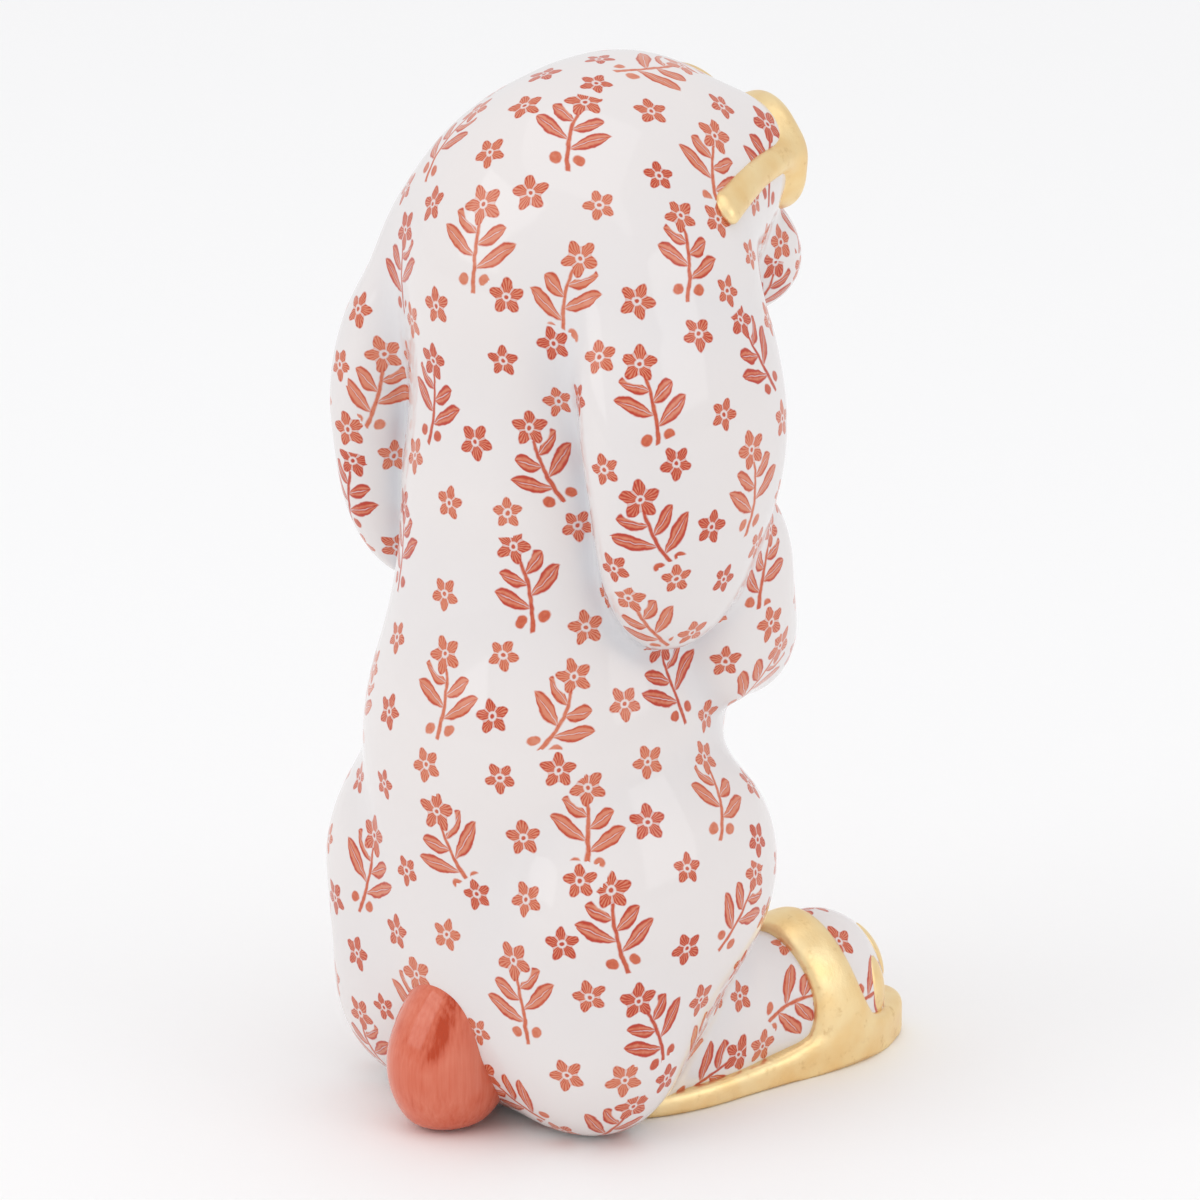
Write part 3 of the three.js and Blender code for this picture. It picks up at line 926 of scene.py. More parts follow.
@dataclass(frozen=True)
class BrushworkLayout:
    """Where the sprigs and florets sit on the porcelain, and which way each one grows."""

    sprig_spacing: float = 9.2
    floret_spacing: float = 4.7
    sprig_weight: float = 1.8
    turn_cost: float = 30.0
    lean: float = 16.0
    seed: int = 11
    centring_rounds: int = 2
    chunk: int = 20000

    def apart(self, places: Array, normals: Array, motif: int) -> Array:
        """Measures how far places are from a motif, with surfaces that face elsewhere pushed away.

        Args:
            places: The places.
            normals: Which way the surface faces there.
            motif: Which of the places the motif stands on.

        Returns:
            A distance for each place.
        """
        offset = places - places[motif]
        turned = np.maximum(1 - normals @ normals[motif], 0.0)
        return np.sqrt(dot(offset, offset) + self.turn_cost * turned)

    def spread(self, places: Array, normals: Array, taken: Array, spacing: float) -> list[int]:
        """Picks places one after another, each as far as it can be from those already picked.

        Args:
            places: The places to pick from.
            normals: Which way the surface faces there.
            taken: How far each place already is from what has been picked.
            spacing: Where to stop.

        Returns:
            The places picked.
        """
        picked = []
        while taken.max() >= spacing:
            picked.append(int(taken.argmax()))
            taken = np.minimum(taken, self.apart(places, normals, picked[-1]))
        return picked

    def nearest(self, places: Array, normals: Array, chosen: Array, weights: Array) -> tuple[Array, Array]:
        """Finds the two motifs nearest to each place.

        Args:
            places: The places.
            normals: Which way the surface faces there.
            chosen: Which of the places the motifs stand on.
            weights: How much nearer each motif counts as, in millimetres.

        Returns:
            The motif that each place belongs to, and its nearest rival.
        """
        owner, rival = np.zeros((2, len(places)), int)
        centres, facing = places[chosen], normals[chosen]
        for start in range(0, len(places), self.chunk):
            rows = slice(start, start + self.chunk)
            part = places[rows]
            squares = (part**2).sum(1)[:, None] + (centres**2).sum(1)[None] - 2 * part @ centres.T
            squares += self.turn_cost * (1 - normals[rows] @ facing.T)
            distance = np.sqrt(np.maximum(squares, 0.0)) - weights
            owner[rows] = distance.argmin(axis=1)
            distance[np.arange(len(part)), owner[rows]] = np.inf
            rival[rows] = distance.argmin(axis=1)
        return owner, rival

    def centred(self, places: Array, normals: Array, sprigs: list[int]) -> list[int]:
        """Moves each sprig to the middle of the places that are nearest to it.

        Args:
            places: The places.
            normals: Which way the surface faces there.
            sprigs: Which of the places the sprigs stand on.

        Returns:
            Which of the places they stand on afterwards.
        """
        for _ in range(self.centring_rounds):
            owner, _ = self.nearest(places, normals, np.array(sprigs), np.zeros(len(sprigs)))
            distance = length_of(places - mean_rows(owner, places, len(sprigs))[owner])
            order = np.lexsort((distance, owner))
            starts = np.searchsorted(owner[order], np.arange(len(sprigs)))
            sprigs = list(order[np.minimum(starts, len(order) - 1)])
        return sprigs

    def lay_out(self, skin: Skin, blank: Array, growth: Array) -> tuple[Array, Array]:
        """Spreads the motifs over a skin and maps the skin round each of them.

        Args:
            skin: The whole porcelain skin.
            blank: Which faces stay unpainted.
            growth: Which way motifs grow at each face.

        Returns:
            The two UV maps, with two numbers for each corner of each face: the place on the motif in
            millimetres, and the motif's own number with how much nearer it is than the next motif.
        """
        random = np.random.default_rng(self.seed)
        free = np.flatnonzero(~blank)
        places, normals = skin.middles()[free], skin.face_normals()[free]
        taken = np.full(len(free), FAR)
        sprigs = self.centred(places, normals, self.spread(places, normals, taken, self.sprig_spacing))
        for sprig in sprigs:
            taken = np.minimum(taken, self.apart(places, normals, sprig))
        florets = self.spread(places, normals, taken, self.floret_spacing)
        chosen = np.array(sprigs + florets)
        weights = np.repeat([self.sprig_weight, 0.0], [len(sprigs), len(florets)])
        log.info("brushwork: %d sprigs and %d florets", len(sprigs), len(florets))

        owner, rival = self.nearest(places, normals, chosen, weights)
        centres, facing, up = places[chosen], normals[chosen], growth[free][chosen]
        up = unit(up - facing * dot(up, facing)[:, None])
        aside = np.cross(up, facing)
        turn = np.radians(self.lean) * random.standard_normal(len(chosen))
        cos, sin = np.cos(turn)[:, None], np.sin(turn)[:, None]
        up, aside = up * cos + aside * sin, aside * cos - up * sin
        flip = random.choice([-1.0, 1.0], len(chosen))
        number = random.random(len(chosen)) * 0.98 + np.where(weights > 0, 0.01, 1.01)

        corner, normal = skin.corners[skin.faces[free]], skin.normals[skin.faces[free]]
        offset = corner - centres[owner][:, None]
        flat_x = np.einsum("ijk,ik->ij", offset, aside[owner])
        flat_y = np.einsum("ijk,ik->ij", offset, up[owner])
        stretch = np.sqrt((offset**2).sum(axis=2)) / np.maximum(np.hypot(flat_x, flat_y), TINY)
        place = np.full((len(skin.faces), 4, 2), UNPAINTED)
        place[free, :, 0] = flat_x * stretch * flip[owner][:, None]
        place[free, :, 1] = flat_y * stretch

        reach = []
        for motif in (owner, rival):
            offset = corner - centres[motif][:, None]
            turned = self.turn_cost * np.maximum(1 - np.einsum("ijk,ik->ij", normal, facing[motif]), 0.0)
            reach.append(np.sqrt((offset**2).sum(axis=2) + turned) - weights[motif][:, None])
        own = np.zeros_like(place)
        own[free, :, 0] = number[owner][:, None]
        own[free, :, 1] = reach[1] - reach[0]
        return place, own


RIGHT_EAR = Casting(
    (
        Lobe((-8.4, 2.0, 74.8), (5.8, 8.6, 8.7), roll=35),
        Lobe((-13.6, 2.6, 64.0), (4.9, 10.4, 12.5), roll=10),
        Lobe((-15.2, 3.9, 56.5), (4.7, 9.3, 12.6)),
        Lobe((-14.8, 5.2, 50.2), (3.6, 5.0, 7.7), roll=-6),
    ),
    4.0,
)
RIGHT_ARM = Casting(
    (
        Lobe((-12.0, -1.5, 51.0), (5.0, 6.0, 8.0)),
        Lobe((-12.0, -4.6, 43.5), (4.8, 5.6, 9.0), pitch=18),
        Lobe((-8.6, -8.8, 39.8), (5.4, 4.9, 5.9)),
        Lobe((-4.4, -12.0, 45.0), (3.9, 3.8, 6.0)),
    ),
    3.5,
)
RIGHT_HAUNCH = Casting(
    (Lobe((-11.0, 4.2, 20.5), (8.5, 13.4, 11.6), pitch=-23), Lobe((-9.6, 9.0, 9.4), (8.2, 7.8, 9.6))),
    4.0,
)
RIGHT_INSTEP = Lobe((-8.0, -5.6, 5.4), (5.2, 12.0, 7.0))
RIGHT_FOOT = Casting((RIGHT_INSTEP, Lobe((-8.6, -17.8, 3.95), (5.45, 8.0, 8.5), pitch=8)), 3.0)
RIGHT_FOOTPRINT = Casting((RIGHT_INSTEP, Lobe((-8.6, -17.2, 5.2), (5.4, 11.2, 6.7))), 3.0)
PAIRED = {"ear": RIGHT_EAR, "arm": RIGHT_ARM, "haunch": RIGHT_HAUNCH, "foot": RIGHT_FOOT}


@dataclass(frozen=True)
class Porcelain:
    """The white castings: torso, head, ears, arms, haunches and feet, luted together under one glaze.

    The softness of a haunch and of an ear changes with height: two heights, then the softness at each.
    """

    torso: Casting = Casting(
        (
            Lobe((0.0, 5.2, 14.0), (15.4, 13.4, 15.2)),
            Lobe((0.0, 5.6, 30.5), (15.4, 13.8, 20.5)),
            Lobe((0.0, 4.2, 52.0), (12.6, 12.0, 16.0)),
            Lobe((0.0, -2.6, 40.5), (10.0, 9.6, 17.0)),
        ),
        6.0,
    )
    head: Casting = Casting(
        (
            Lobe((0.0, 2.4, 69.6), (13.1, 13.4, 17.2)),
            Lobe((0.0, -4.0, 76.0), (12.6, 12.6, 12.0)),
            Lobe((0.0, -13.2, 70.8), (6.0, 7.0, 5.6), pitch=-20),
            Lobe((-4.0, -14.6, 69.6), (4.6, 4.9, 4.4)),
            Lobe((4.0, -14.6, 69.6), (4.6, 4.9, 4.4)),
            Lobe((0.0, -12.4, 65.6), (4.2, 4.6, 4.0)),
            Lobe((-5.0, -11.9, 78.9), (4.6, 4.9, 4.8)),
            Lobe((5.0, -11.9, 78.9), (4.6, 4.9, 4.8)),
        ),
        3.0,
    )
    nose: Lobe = Lobe((0.0, -19.3, 72.7), (1.7, 1.2, 1.1))
    nose_softness: float = 0.5
    neck_seam: float = 61.5
    neck_softness: float = 5.0
    haunch_softness: tuple[float, ...] = (12.0, 26.0, 4.0, 2.6)
    foot_softness: float = 3.2
    arm_softness: float = 1.5
    ear_softness: tuple[float, ...] = (58.0, 68.0, 1.2, 3.8)
    foot_edge: float = 1.2
    vent_centre: float = 5.2
    vent_radius: float = 3.2
    vent_depth: float = 12.0
    vent_edge: float = 0.8
    head_growth: Triple = (0.0, -0.6, 1.0)
    arm_growth: Triple = (0.0, -0.4, 1.0)
    foot_growth: Triple = (0.0, -1.0, 0.3)
    fan_centre: Triple = (10.0, 9.0, 0.0)
    bare_height: float = 0.3
    crease_probe: float = 1.6
    block: tuple[Triple, Triple] = ((-22.0, -30.0, -1.0), (22.0, 24.0, 90.0))
    face_width: float = 0.45
    wall: float = 1.0

    def sides(self) -> dict[str, Casting]:
        """The paired castings, right and left."""
        return {f"{name}_{side}": casting.on(side) for side in SIDES for name, casting in PAIRED.items()}

    def outside(self, places: Array) -> Array:
        """Measures how far places lie outside the whole porcelain form.

        Args:
            places: Rows of X, Y and Z.

        Returns:
            A distance for each place, negative inside.
        """
        height = places[:, 2]
        sides = self.sides()
        softness = {
            "haunch": ease(height, *self.haunch_softness),
            "foot": self.foot_softness,
            "arm": self.arm_softness,
            "ear": ease(height, *self.ear_softness),
        }
        made = melt(self.torso.outside(places), self.head.outside(places), self.neck_softness)
        made = melt(made, self.nose.outside(places), self.nose_softness)
        for names in (("haunch", "foot", "arm"), ("ear",)):
            for side in SIDES:
                for name in names:
                    made = melt(made, sides[f"{name}_{side}"].outside(places), softness[name])
        made = keep_both(made, -height, self.foot_edge)
        from_vent = np.hypot(places[:, 0], places[:, 1] - self.vent_centre)
        vent = np.maximum(from_vent - self.vent_radius, height - self.vent_depth)
        return keep_both(made, -vent, self.vent_edge)

    def owners(self, places: Array) -> dict[str, Array]:
        """Finds which casting each place belongs to.

        Args:
            places: Rows of X, Y and Z.

        Returns:
            True or false for each place, by the casting's name.
        """
        body = np.minimum(self.torso.outside(places), self.head.outside(places))
        sides = self.sides()
        owner = np.stack([body] + [casting.outside(places) for casting in sides.values()]).argmin(axis=0)
        upper = places[:, 2] > self.neck_seam
        found = {"torso": (owner == 0) & ~upper, "head": (owner == 0) & upper}
        return found | {name: owner == index + 1 for index, name in enumerate(sides)}

    def growth(self, places: Array, owners: dict[str, Array]) -> Array:
        """Finds which way the painted motifs grow.

        Args:
            places: Rows of X, Y and Z.
            owners: Which casting each place belongs to.

        Returns:
            A direction for each place.
        """
        directions = np.tile([0.0, 0.0, 1.0], (len(places), 1))
        directions[owners["head"]] = self.head_growth
        for side, sign in SIDES.items():
            directions[owners[f"foot_{side}"]] = self.foot_growth
            directions[owners[f"arm_{side}"]] = self.arm_growth
            fan = owners[f"haunch_{side}"]
            directions[fan] = places[fan] - np.array(self.fan_centre) * (sign, 1.0, 1.0)
        return directions

    def make(self, maker: Maker, finish: Material, blank: Field) -> None:
        """Builds and dresses every white casting.

        Args:
            maker: Makes the pieces.
            finish: The painted glaze.
            blank: Tells which places stay unpainted.
        """
        skin = skin_of(self.outside, *self.block, self.face_width)
        middles = skin.middles()
        owners = self.owners(middles)
        unpainted = blank(middles) | (middles[:, 2] < self.bare_height)
        place, motif = BrushworkLayout().lay_out(skin, unpainted, self.growth(middles, owners))
        # painted shade: how deep each corner sits in a crease, carried on the pieces to darken the glaze
        # there
        near = self.outside(skin.corners + self.crease_probe * skin.normals)
        crease = np.clip(1 - near / self.crease_probe, 0.0, 1.0)
        for name, chosen in owners.items():
            shell = shell_of(skin, chosen, self.wall)
            maps = {"brushwork": shell.numbers(place, UNPAINTED), "motif": shell.numbers(motif, 0.0)}
            levels = {"crease": np.tile(crease[np.unique(skin.faces[chosen])], 2)}
            piece = maker.mesh(f"{name}_casting", shell, maps, levels)
            maker.dress(piece, finish, Slot.WHITE_GLAZE, name)


@dataclass(frozen=True)
class Tail:
    """The red tail against the rump: an egg that leans a little to the right."""

    form: Casting = Casting(
        (
            Lobe((0.0, 17.0, 5.6), (4.5, 4.6, 6.1)),
            Lobe((-0.7, 16.2, 8.9), (4.2, 3.6, 4.9), pitch=-15),
            Lobe((-0.3, 15.6, 4.3), (4.4, 3.9, 4.2)),
        ),
        1.6,
    )
    foot_edge: float = 1.0
    block: tuple[Triple, Triple] = ((-6.0, 11.0, -1.0), (6.0, 23.0, 15.0))
    face_width: float = 0.3

    def outside(self, places: Array) -> Array:
        """How far each place lies outside the tail."""
        return keep_both(self.form.outside(places), -places[:, 2], self.foot_edge)

    def make(self, maker: Maker, finish: Material) -> None:
        """Builds and dresses the tail."""
        piece = maker.mesh("tail_enamelled", skin_of(self.outside, *self.block, self.face_width), {}, {})
        maker.dress(piece, finish, Slot.RED_GLAZE, "tail")


@dataclass(frozen=True)
class Spectacles:
    """Gilded relief: two rims, the bridge between them and the temples that run back to the ears."""

    rim_centre: Triple = (-5.0, -16.3, 78.9)
    tip: Pair = (-0.25, 0.6)
    wrap: float = 15.0
    lean: float = 8.0
    radius: float = 3.85
    bead: float = 1.2
    rim_depth: float = 4.2
    bridge_bead: float = 0.9
    bridge_half: float = 2.6
    bridge_place: Pair = (-0.9, 2.75)
    bridge_curve: Pair = (0.10, -0.06)
    bridge_softness: float = 1.0
    temple_hinge: Pair = (-15.7, 79.5)
    temple_end: Pair = (-2.5, 77.8)
    temple_half: Pair = (1.15, 1.3)
    temple_rise: float = 0.85
    temple_bow: float = 2.2
    temple_inset: float = 8.3
    temple_softness: float = 1.6
    bare_margin: float = 0.5
    bare_rims: float = -9.0
    bare_mouth: Triple = (4.2, -15.5, 71.8)
    block: tuple[Triple, Triple] = ((-15.5, -20.0, 71.5), (15.5, 0.0, 86.5))
    face_width: float = 0.25
    wall: float = 0.5

    def rim_outside(self, places: Array, side: float) -> Array:
        """Measures how far places lie outside a rim: a beaded ring whose wall runs into the face.

        Args:
            places: Rows of X, Y and Z.
            side: The sign of X on the rim's side.

        Returns:
            A distance for each place.
        """
        turn, lean = np.radians(side * self.wrap), np.radians(self.lean)
        tip = self.tip[0] if side < 0 else self.tip[1]
        offset = places - np.array(self.rim_centre) * (-side, 1.0, 1.0) - np.array([0.0, 0.0, tip])
        x = offset[:, 0] * np.cos(turn) + offset[:, 1] * np.sin(turn)
        forward = offset[:, 1] * np.cos(turn) - offset[:, 0] * np.sin(turn)
        y = forward * np.cos(lean) - offset[:, 2] * np.sin(lean)
        z = forward * np.sin(lean) + offset[:, 2] * np.cos(lean)
        ring = np.hypot(x, z) - self.radius
        return np.maximum(np.hypot(ring, np.minimum(y, 0.0)) - self.bead, y - self.rim_depth)

    def temple_outside(self, places: Array, side: float, face: Array) -> Array:
        """Measures how far places lie outside a temple: a domed band that bends down along the head.

        Args:
            places: Rows of X, Y and Z.
            side: The sign of X on the temple's side.
            face: How far each place lies outside the porcelain.

        Returns:
            A distance for each place.
        """
        (start, top), (end, bottom) = self.temple_hinge, self.temple_end
        share = np.clip((places[:, 1] - start) / (end - start), 0.0, 1.0)
        middle = top - (top - bottom) * share**self.temple_bow
        aside = np.hypot(places[:, 1] - start - share * (end - start), places[:, 2] - middle)
        half = self.temple_half[0] + (self.temple_half[1] - self.temple_half[0]) * share
        size = np.hypot(face / self.temple_rise, aside / half)
        slope = np.hypot(face / self.temple_rise**2, aside / half**2)
        made = size * (size - 1) / np.maximum(slope, TINY)
        return np.maximum(made, self.temple_inset - side * places[:, 0])

    def bridge_outside(self, places: Array) -> Array:
        """Measures how far places lie outside the bridge, an arch between the rims.

        Args:
            places: Rows of X, Y and Z.

        Returns:
            A distance for each place.
        """
        across = np.abs(places[:, 0])
        arch = np.array(self.rim_centre[1:]) + self.bridge_place + across[:, None] ** 2 * self.bridge_curve
        body = length_of(places[:, 1:] - arch) - self.bridge_bead
        return np.maximum(body, across - self.bridge_half)

    def parts(self, places: Array, face: Field) -> list[Array]:
        """Measures how far places lie outside each part.

        Args:
            places: Rows of X, Y and Z.
            face: The distance of the porcelain.

        Returns:
            The distances of the rims, the bridge, the right temple and the left one.
        """
        on_face = face(places)
        rims = np.minimum(*(self.rim_outside(places, side) for side in SIDES.values()))
        temples = [self.temple_outside(places, side, on_face) for side in SIDES.values()]
        return [rims, self.bridge_outside(places), *temples]

    def make(self, maker: Maker, finish: Material, face: Field) -> None:
        """Builds and dresses the spectacles.

        Args:
            maker: Makes the pieces.
            finish: The gilding.
            face: The distance of the porcelain that they sit on.
        """

        def outside(places: Array) -> Array:
            """Measures how far places lie outside the spectacles.

            Args:
                places: Rows of X, Y and Z.

            Returns:
                A distance for each place.
            """
            rims, bridge, *temples = self.parts(places, face)
            front = melt(rims, bridge, self.bridge_softness)
            return melt(front, np.minimum(*temples), self.temple_softness)

        skin = skin_of(outside, *self.block, self.face_width)
        rims, bridge, *temples = self.parts(skin.middles(), face)
        owner = np.stack([np.minimum(rims, bridge), *temples]).argmin(axis=0)
        nodes = ("spectacle_front", "spectacle_temple_right", "spectacle_temple_left")
        for index, node in enumerate(nodes):
            piece = maker.mesh(f"{node}_gilded", shell_of(skin, owner == index, self.wall), {}, {})
            maker.dress(piece, finish, Slot.GILDING, node)

    def bare_face(self, places: Array) -> Array:
        """Finds the places that stay free of sprigs: inside the rims, and round the nose and the mouth.

        Args:
            places: Rows of X, Y and Z.

        Returns:
            True or false for each place.
        """
        x, y, z = np.abs(places[:, 0]), places[:, 1], places[:, 2]
        from_rim = np.hypot(x + self.rim_centre[0], z - self.rim_centre[2]) - self.radius
        around, front, height = self.bare_mouth
        mouth = (np.hypot(x, z - height) < around) & (y < front)
        return (from_rim < self.bare_margin) & (y < self.bare_rims) | mouth


@dataclass(frozen=True)
class Sandal:
    """A gilded sole and the strap that comes down to it."""

    side: str
    sole_heel: Pair = (6.4, 1.7)
    sole_toe: Pair = (-28.4, 3.4)
    sole_edge: float = 1.0
    sole_foot_edge: float = 0.5
    welt: float = 0.5
    outline_height: float = 3.0
    strap_thickness: float = 0.8
    strap_half: float = 2.15
    strap_flare: float = 2.4
    flare_height: float = 2.9
    flare_fade: float = 2.0
    strap_top: Pair = (-15.3, 11.5)
    strap_foot: Pair = (-17.0, 3.6)
    strap_end: float = 0.6
    softness: float = 1.2
    block: tuple[Triple, Triple] = ((-3.0, -30.5, -1.0), (16.5, 8.0, 14.0))
    face_width: float = 0.28
    wall: float = 0.5

    def sole_outside(self, places: Array) -> Array:
        """Measures how far places lie outside the sole: the footprint, under a top that climbs to the toes.

        Args:
            places: Rows of X, Y and Z.

        Returns:
            A distance for each place.
        """
        level = places.copy()
        level[:, 2] = self.outline_height
        outline = RIGHT_FOOTPRINT.on(self.side).outside(level) - self.welt
        (heel, low), (toe, high) = self.sole_heel, self.sole_toe
        top = low + (high - low) * (heel - places[:, 1]) / (heel - toe)
        sole = keep_both(outline, places[:, 2] - top, self.sole_edge)
        return keep_both(sole, -places[:, 2], self.sole_foot_edge)

    def strap_outside(self, places: Array) -> Array:
        """Measures how far places lie outside the strap, a band over the foot that flares into the sole.

        Args:
            places: Rows of X, Y and Z.

        Returns:
            A distance for each place.
        """
        foot = RIGHT_FOOT.on(self.side).outside(places)
        height = places[:, 2]
        share = (self.strap_top[1] - height) / (self.strap_top[1] - self.strap_foot[1])
        middle = self.strap_top[0] + (self.strap_foot[0] - self.strap_top[0]) * share
        flare = np.exp(-np.maximum(height - self.flare_height, 0.0) / self.flare_fade)
        half = self.strap_half + self.strap_flare * flare
        through, along = np.abs(foot) / self.strap_thickness, np.abs(places[:, 1] - middle) / half
        size = (through**3 + along**3) ** (1 / 3)
        made = (size - 1) * np.minimum(self.strap_thickness, half)
        return np.maximum(made, self.strap_end - height)

    def outside(self, places: Array) -> Array:
        """How far each place lies outside the sandal."""
        return melt(self.sole_outside(places), self.strap_outside(places), self.softness)

    def make(self, maker: Maker, finish: Material) -> None:
        """Builds and dresses the sandal.

        Args:
            maker: Makes the pieces.
            finish: The gilding.
        """
        (near, *low), (far, *high) = self.block
        left, right = sorted((SIDES[self.side] * near, SIDES[self.side] * far))
        skin = skin_of(self.outside, (left, *low), (right, *high), self.face_width)
        middles = skin.middles()
        strap = self.strap_outside(middles) < self.sole_outside(middles)
        for name, chosen in (("sandal_strap", strap), ("sandal_sole", ~strap)):
            node = f"{name}_{self.side}"
            piece = maker.mesh(f"{node}_gilded", shell_of(skin, chosen, self.wall), {}, {})
            maker.dress(piece, finish, Slot.GILDING, node)


@dataclass(frozen=True)
class Claws:
    """The gilded claws of one foot, laid over the toes by a geometry node tree."""

    side: str
    bearings: tuple[float, ...] = (54.0, 23.0, -13.0, -48.0)
    heights: tuple[float, ...] = (5.8, 8.1, 8.1, 6.0)
    length: float = 5.4
    width: float = 2.6
    rise: float = 0.3
    bend: float = 0.45
    cup: float = 0.15
    taper: float = 0.12
    settling_rounds: int = 3
    settling_step: float = 0.5

    def sizes(self) -> dict[str, float]:
        """The tree's inputs, in millimetres."""
        lozenge = {"Length": self.length, "Width": self.width}
        return lozenge | {"Rise": self.rise, "Bend": self.bend, "Cup": self.cup}

    def tree(self, finish: Material) -> Tree:
        """Builds the tree: a flat lozenge, bent over the toe, copied onto every point it is given.

        Args:
            finish: The claws' finish.

        Returns:
            The tree, with inputs for the lozenge's sizes.
        """
        tree = bpy.data.node_groups.new(f"claws_on_the_{self.side}_toes", "GeometryNodeTree")
        tree.interface.new_socket("Toes", in_out="INPUT", socket_type="NodeSocketGeometry")
        for name in self.sizes():
            tree.interface.new_socket(name, in_out="INPUT", socket_type="NodeSocketFloat")
        tree.interface.new_socket("Claws", in_out="OUTPUT", socket_type="NodeSocketGeometry")
        nodes = Nodes(tree)
        given = nodes.node("NodeGroupInput").node.outputs
        length, width, rise, bend, cup = (Value(nodes, given[name]) for name in self.sizes())

        ball = nodes.node("GeometryNodeMeshUVSphere", inputs={"Segments": 24, "Rings": 14, "Radius": 1.0})
        x, y, z = nodes.split(nodes.node("GeometryNodeInputPosition"))
        across = x * width * 0.5 * (1 + y * self.taper)
        out = z * rise - y * y * bend - x * x * cup
        place = nodes.node("ShaderNodeCombineXYZ", inputs={"X": across, "Y": y * length * 0.5, "Z": out})
        claw = nodes.node("GeometryNodeSetPosition", inputs={"Geometry": ball, "Position": place})

        named = {"data_type": "FLOAT_VECTOR"}
        facing = nodes.node("GeometryNodeInputNamedAttribute", named, {"Name": "facing"})
        along = nodes.node("GeometryNodeInputNamedAttribute", named, {"Name": "along"})
        axes = {"primary_axis": "Z", "secondary_axis": "Y"}
        ways = {"Primary Axis": facing, "Secondary Axis": along}
        turned = nodes.node("FunctionNodeAxesToRotation", axes, ways)
        laid = {"Points": given["Toes"], "Instance": claw, "Rotation": turned}
        copies = nodes.node("GeometryNodeInstanceOnPoints", inputs=laid)
        plain = nodes.node("GeometryNodeRealizeInstances", inputs={"Geometry": copies})
        smooth = nodes.node("GeometryNodeSetShadeSmooth", inputs={"Geometry": plain})
        dressed = nodes.node("GeometryNodeSetMaterial", inputs={"Geometry": smooth, "Material": finish})
        nodes.node("NodeGroupOutput", inputs={"Claws": dressed})
        return tree

    def make(self, maker: Maker, finish: Material, skin: Field) -> None:
        """Builds and dresses the claws.

        Args:
            maker: Makes the pieces.
            finish: The gilding.
            skin: The distance of the porcelain that they lie on.
        """
        toes = RIGHT_FOOT.on(self.side).lobes[1]
        bearing = np.radians(self.bearings)
        rise = (np.array(self.heights) - toes.centre[2]) / toes.half[2]
        ring = np.sqrt(1 - rise * rise)
        ways = np.stack([SIDES[self.side] * ring * np.sin(bearing), -ring * np.cos(bearing), rise], axis=1)
        places = np.array(toes.centre) + ways * np.array(toes.half)
        places = settle(skin, places, self.settling_rounds, self.settling_step)
        facing = unit(slope_of(skin, places))
        along = unit(facing * facing[:, 2:] - np.array([0.0, 0.0, 1.0]))
        axes = {"facing": facing, "along": along}
        piece = maker.grown(f"claws_{self.side}_gilded", places, axes, self.tree(finish), self.sizes())
        maker.dress(piece, finish, Slot.GILDING)


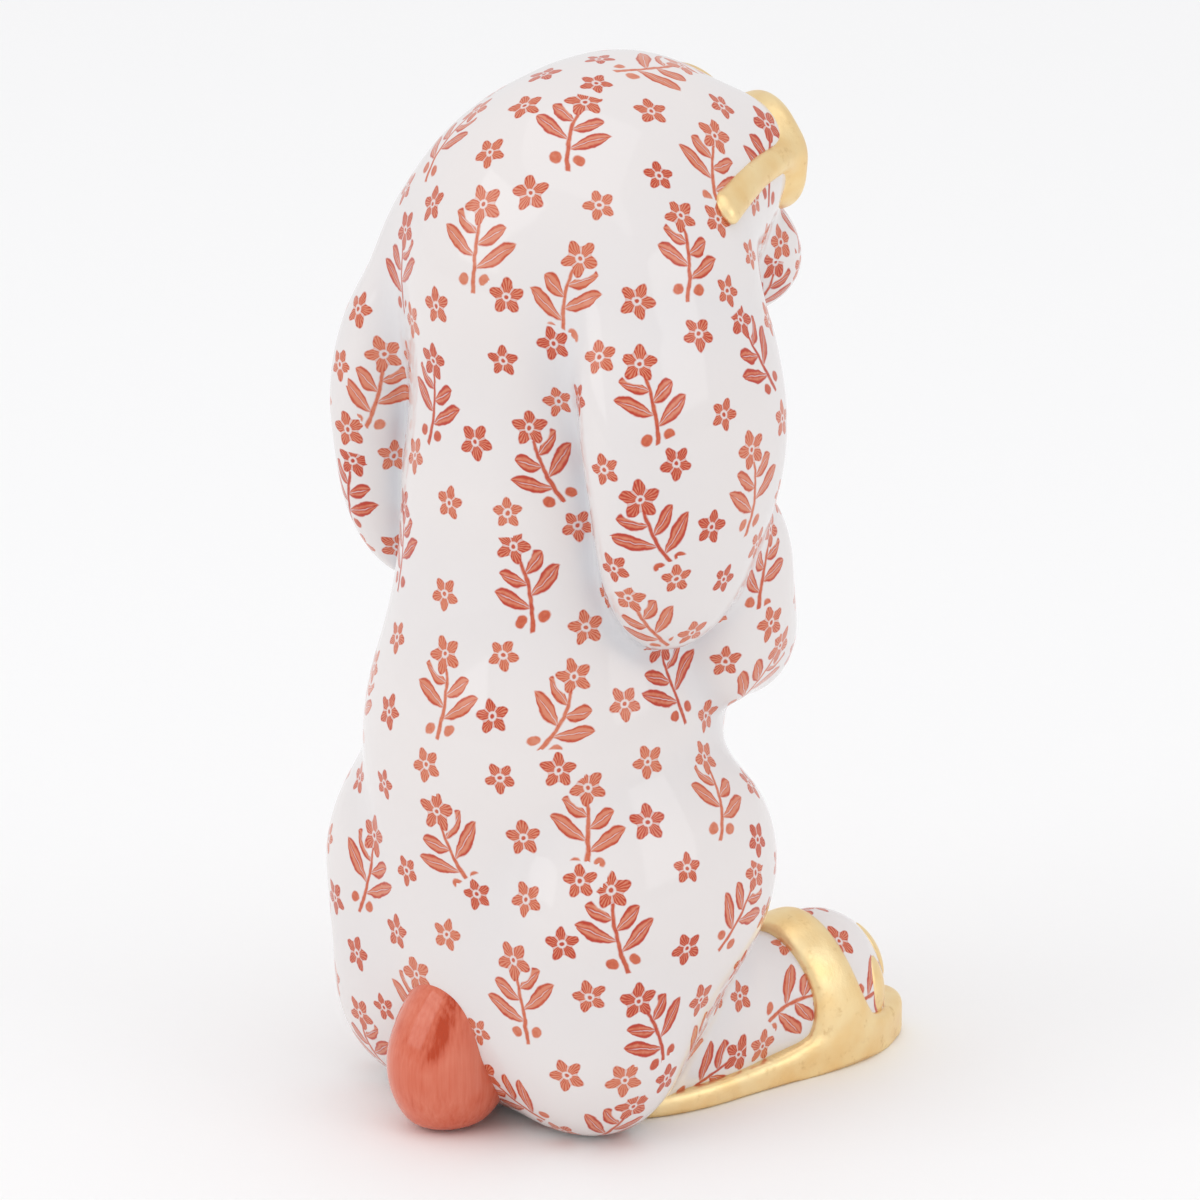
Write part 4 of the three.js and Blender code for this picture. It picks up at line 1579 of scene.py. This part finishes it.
@dataclass(frozen=True)
class Studio:
    """The pale table, the soft lights and the camera. A light has a name, a place, a width and a power."""

    azimuth: float = 225.0
    elevation: float = 17.0
    distance: float = 0.7
    lens: float = 252.0
    sensor: float = 36.0
    aim: Triple = (0.0, 0.0017, 0.0417)
    table_half: float = 3.0
    sky: tuple[float, ...] = (0.98, 0.985, 1.0, 1.0)
    sky_strength: float = 0.86
    lights: tuple[tuple[str, Triple, float, float], ...] = (
        ("overhead", (-0.1, 0.15, 1.1), 1.0, 1.6),
        ("left_window", (0.35, 1.0, 0.55), 0.8, 2.0),
        ("right_window", (-1.05, -0.25, 0.5), 0.7, 1.3),
    )

    def put(self, name: str, data: bpy.types.ID, place: Vector) -> Piece:
        """Puts a camera or a light in its place, facing the figurine.

        Args:
            name: The object's name.
            data: The camera or the light.
            place: Its place, in metres.

        Returns:
            The object.
        """
        holder = bpy.data.objects.new(name, data)
        holder.location = place
        holder.rotation_euler = (place - Vector(self.aim)).to_track_quat("Z", "Y").to_euler()
        bpy.context.scene.collection.objects.link(holder)
        return holder

    def place_camera(self) -> None:
        """Puts the camera at the photograph's viewing angle."""
        azimuth, elevation = np.radians(self.azimuth), np.radians(self.elevation)
        level = np.cos(elevation)
        back = Vector((np.sin(azimuth) * level, -np.cos(azimuth) * level, np.sin(elevation)))
        camera = bpy.data.cameras.new("camera")
        camera.lens, camera.sensor_width, camera.sensor_fit = self.lens, self.sensor, "HORIZONTAL"
        camera.clip_start, camera.clip_end = 0.01, 20.0
        bpy.context.scene.camera = self.put("camera", camera, Vector(self.aim) + back * self.distance)

    def make(self) -> None:
        """Builds the table, the lights and the surroundings."""
        half = self.table_half
        square = [(-half, -half, 0), (half, -half, 0), (half, half, 0), (-half, half, 0)]
        mesh = bpy.data.meshes.new("table")
        mesh.from_pydata(square, [], [(0, 1, 2, 3)])
        table = bpy.data.objects.new("table", mesh)
        bpy.context.scene.collection.objects.link(table)
        mesh.materials.append(TableFinish().material())
        world = bpy.data.worlds.new("studio")
        world.use_nodes = True
        background = world.node_tree.nodes["Background"].inputs
        background["Color"].default_value = self.sky
        background["Strength"].default_value = self.sky_strength
        bpy.context.scene.world = world
        for name, place, width, power in self.lights:
            lamp = bpy.data.lights.new(name, "AREA")
            lamp.size, lamp.energy = width, power
            self.put(name, lamp, Vector(place))
        bpy.context.scene.view_settings.view_transform = "Standard"


def main() -> None:
    """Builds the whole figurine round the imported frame."""
    logging.basicConfig(level=logging.INFO, format="%(message)s")
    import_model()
    studio = Studio()
    studio.place_camera()
    studio.make()
    maker = Maker()
    spectacles = Spectacles()
    porcelain = Porcelain()
    gilding = GildingFinish().material()
    porcelain.make(maker, GlazeFinish().material(), spectacles.bare_face)
    Tail().make(maker, TailFinish().material())
    spectacles.make(maker, gilding, porcelain.outside)
    for side in SIDES:
        Sandal(side).make(maker, gilding)
        Claws(side).make(maker, gilding, porcelain.outside)


if __name__ == "__main__":
    main()
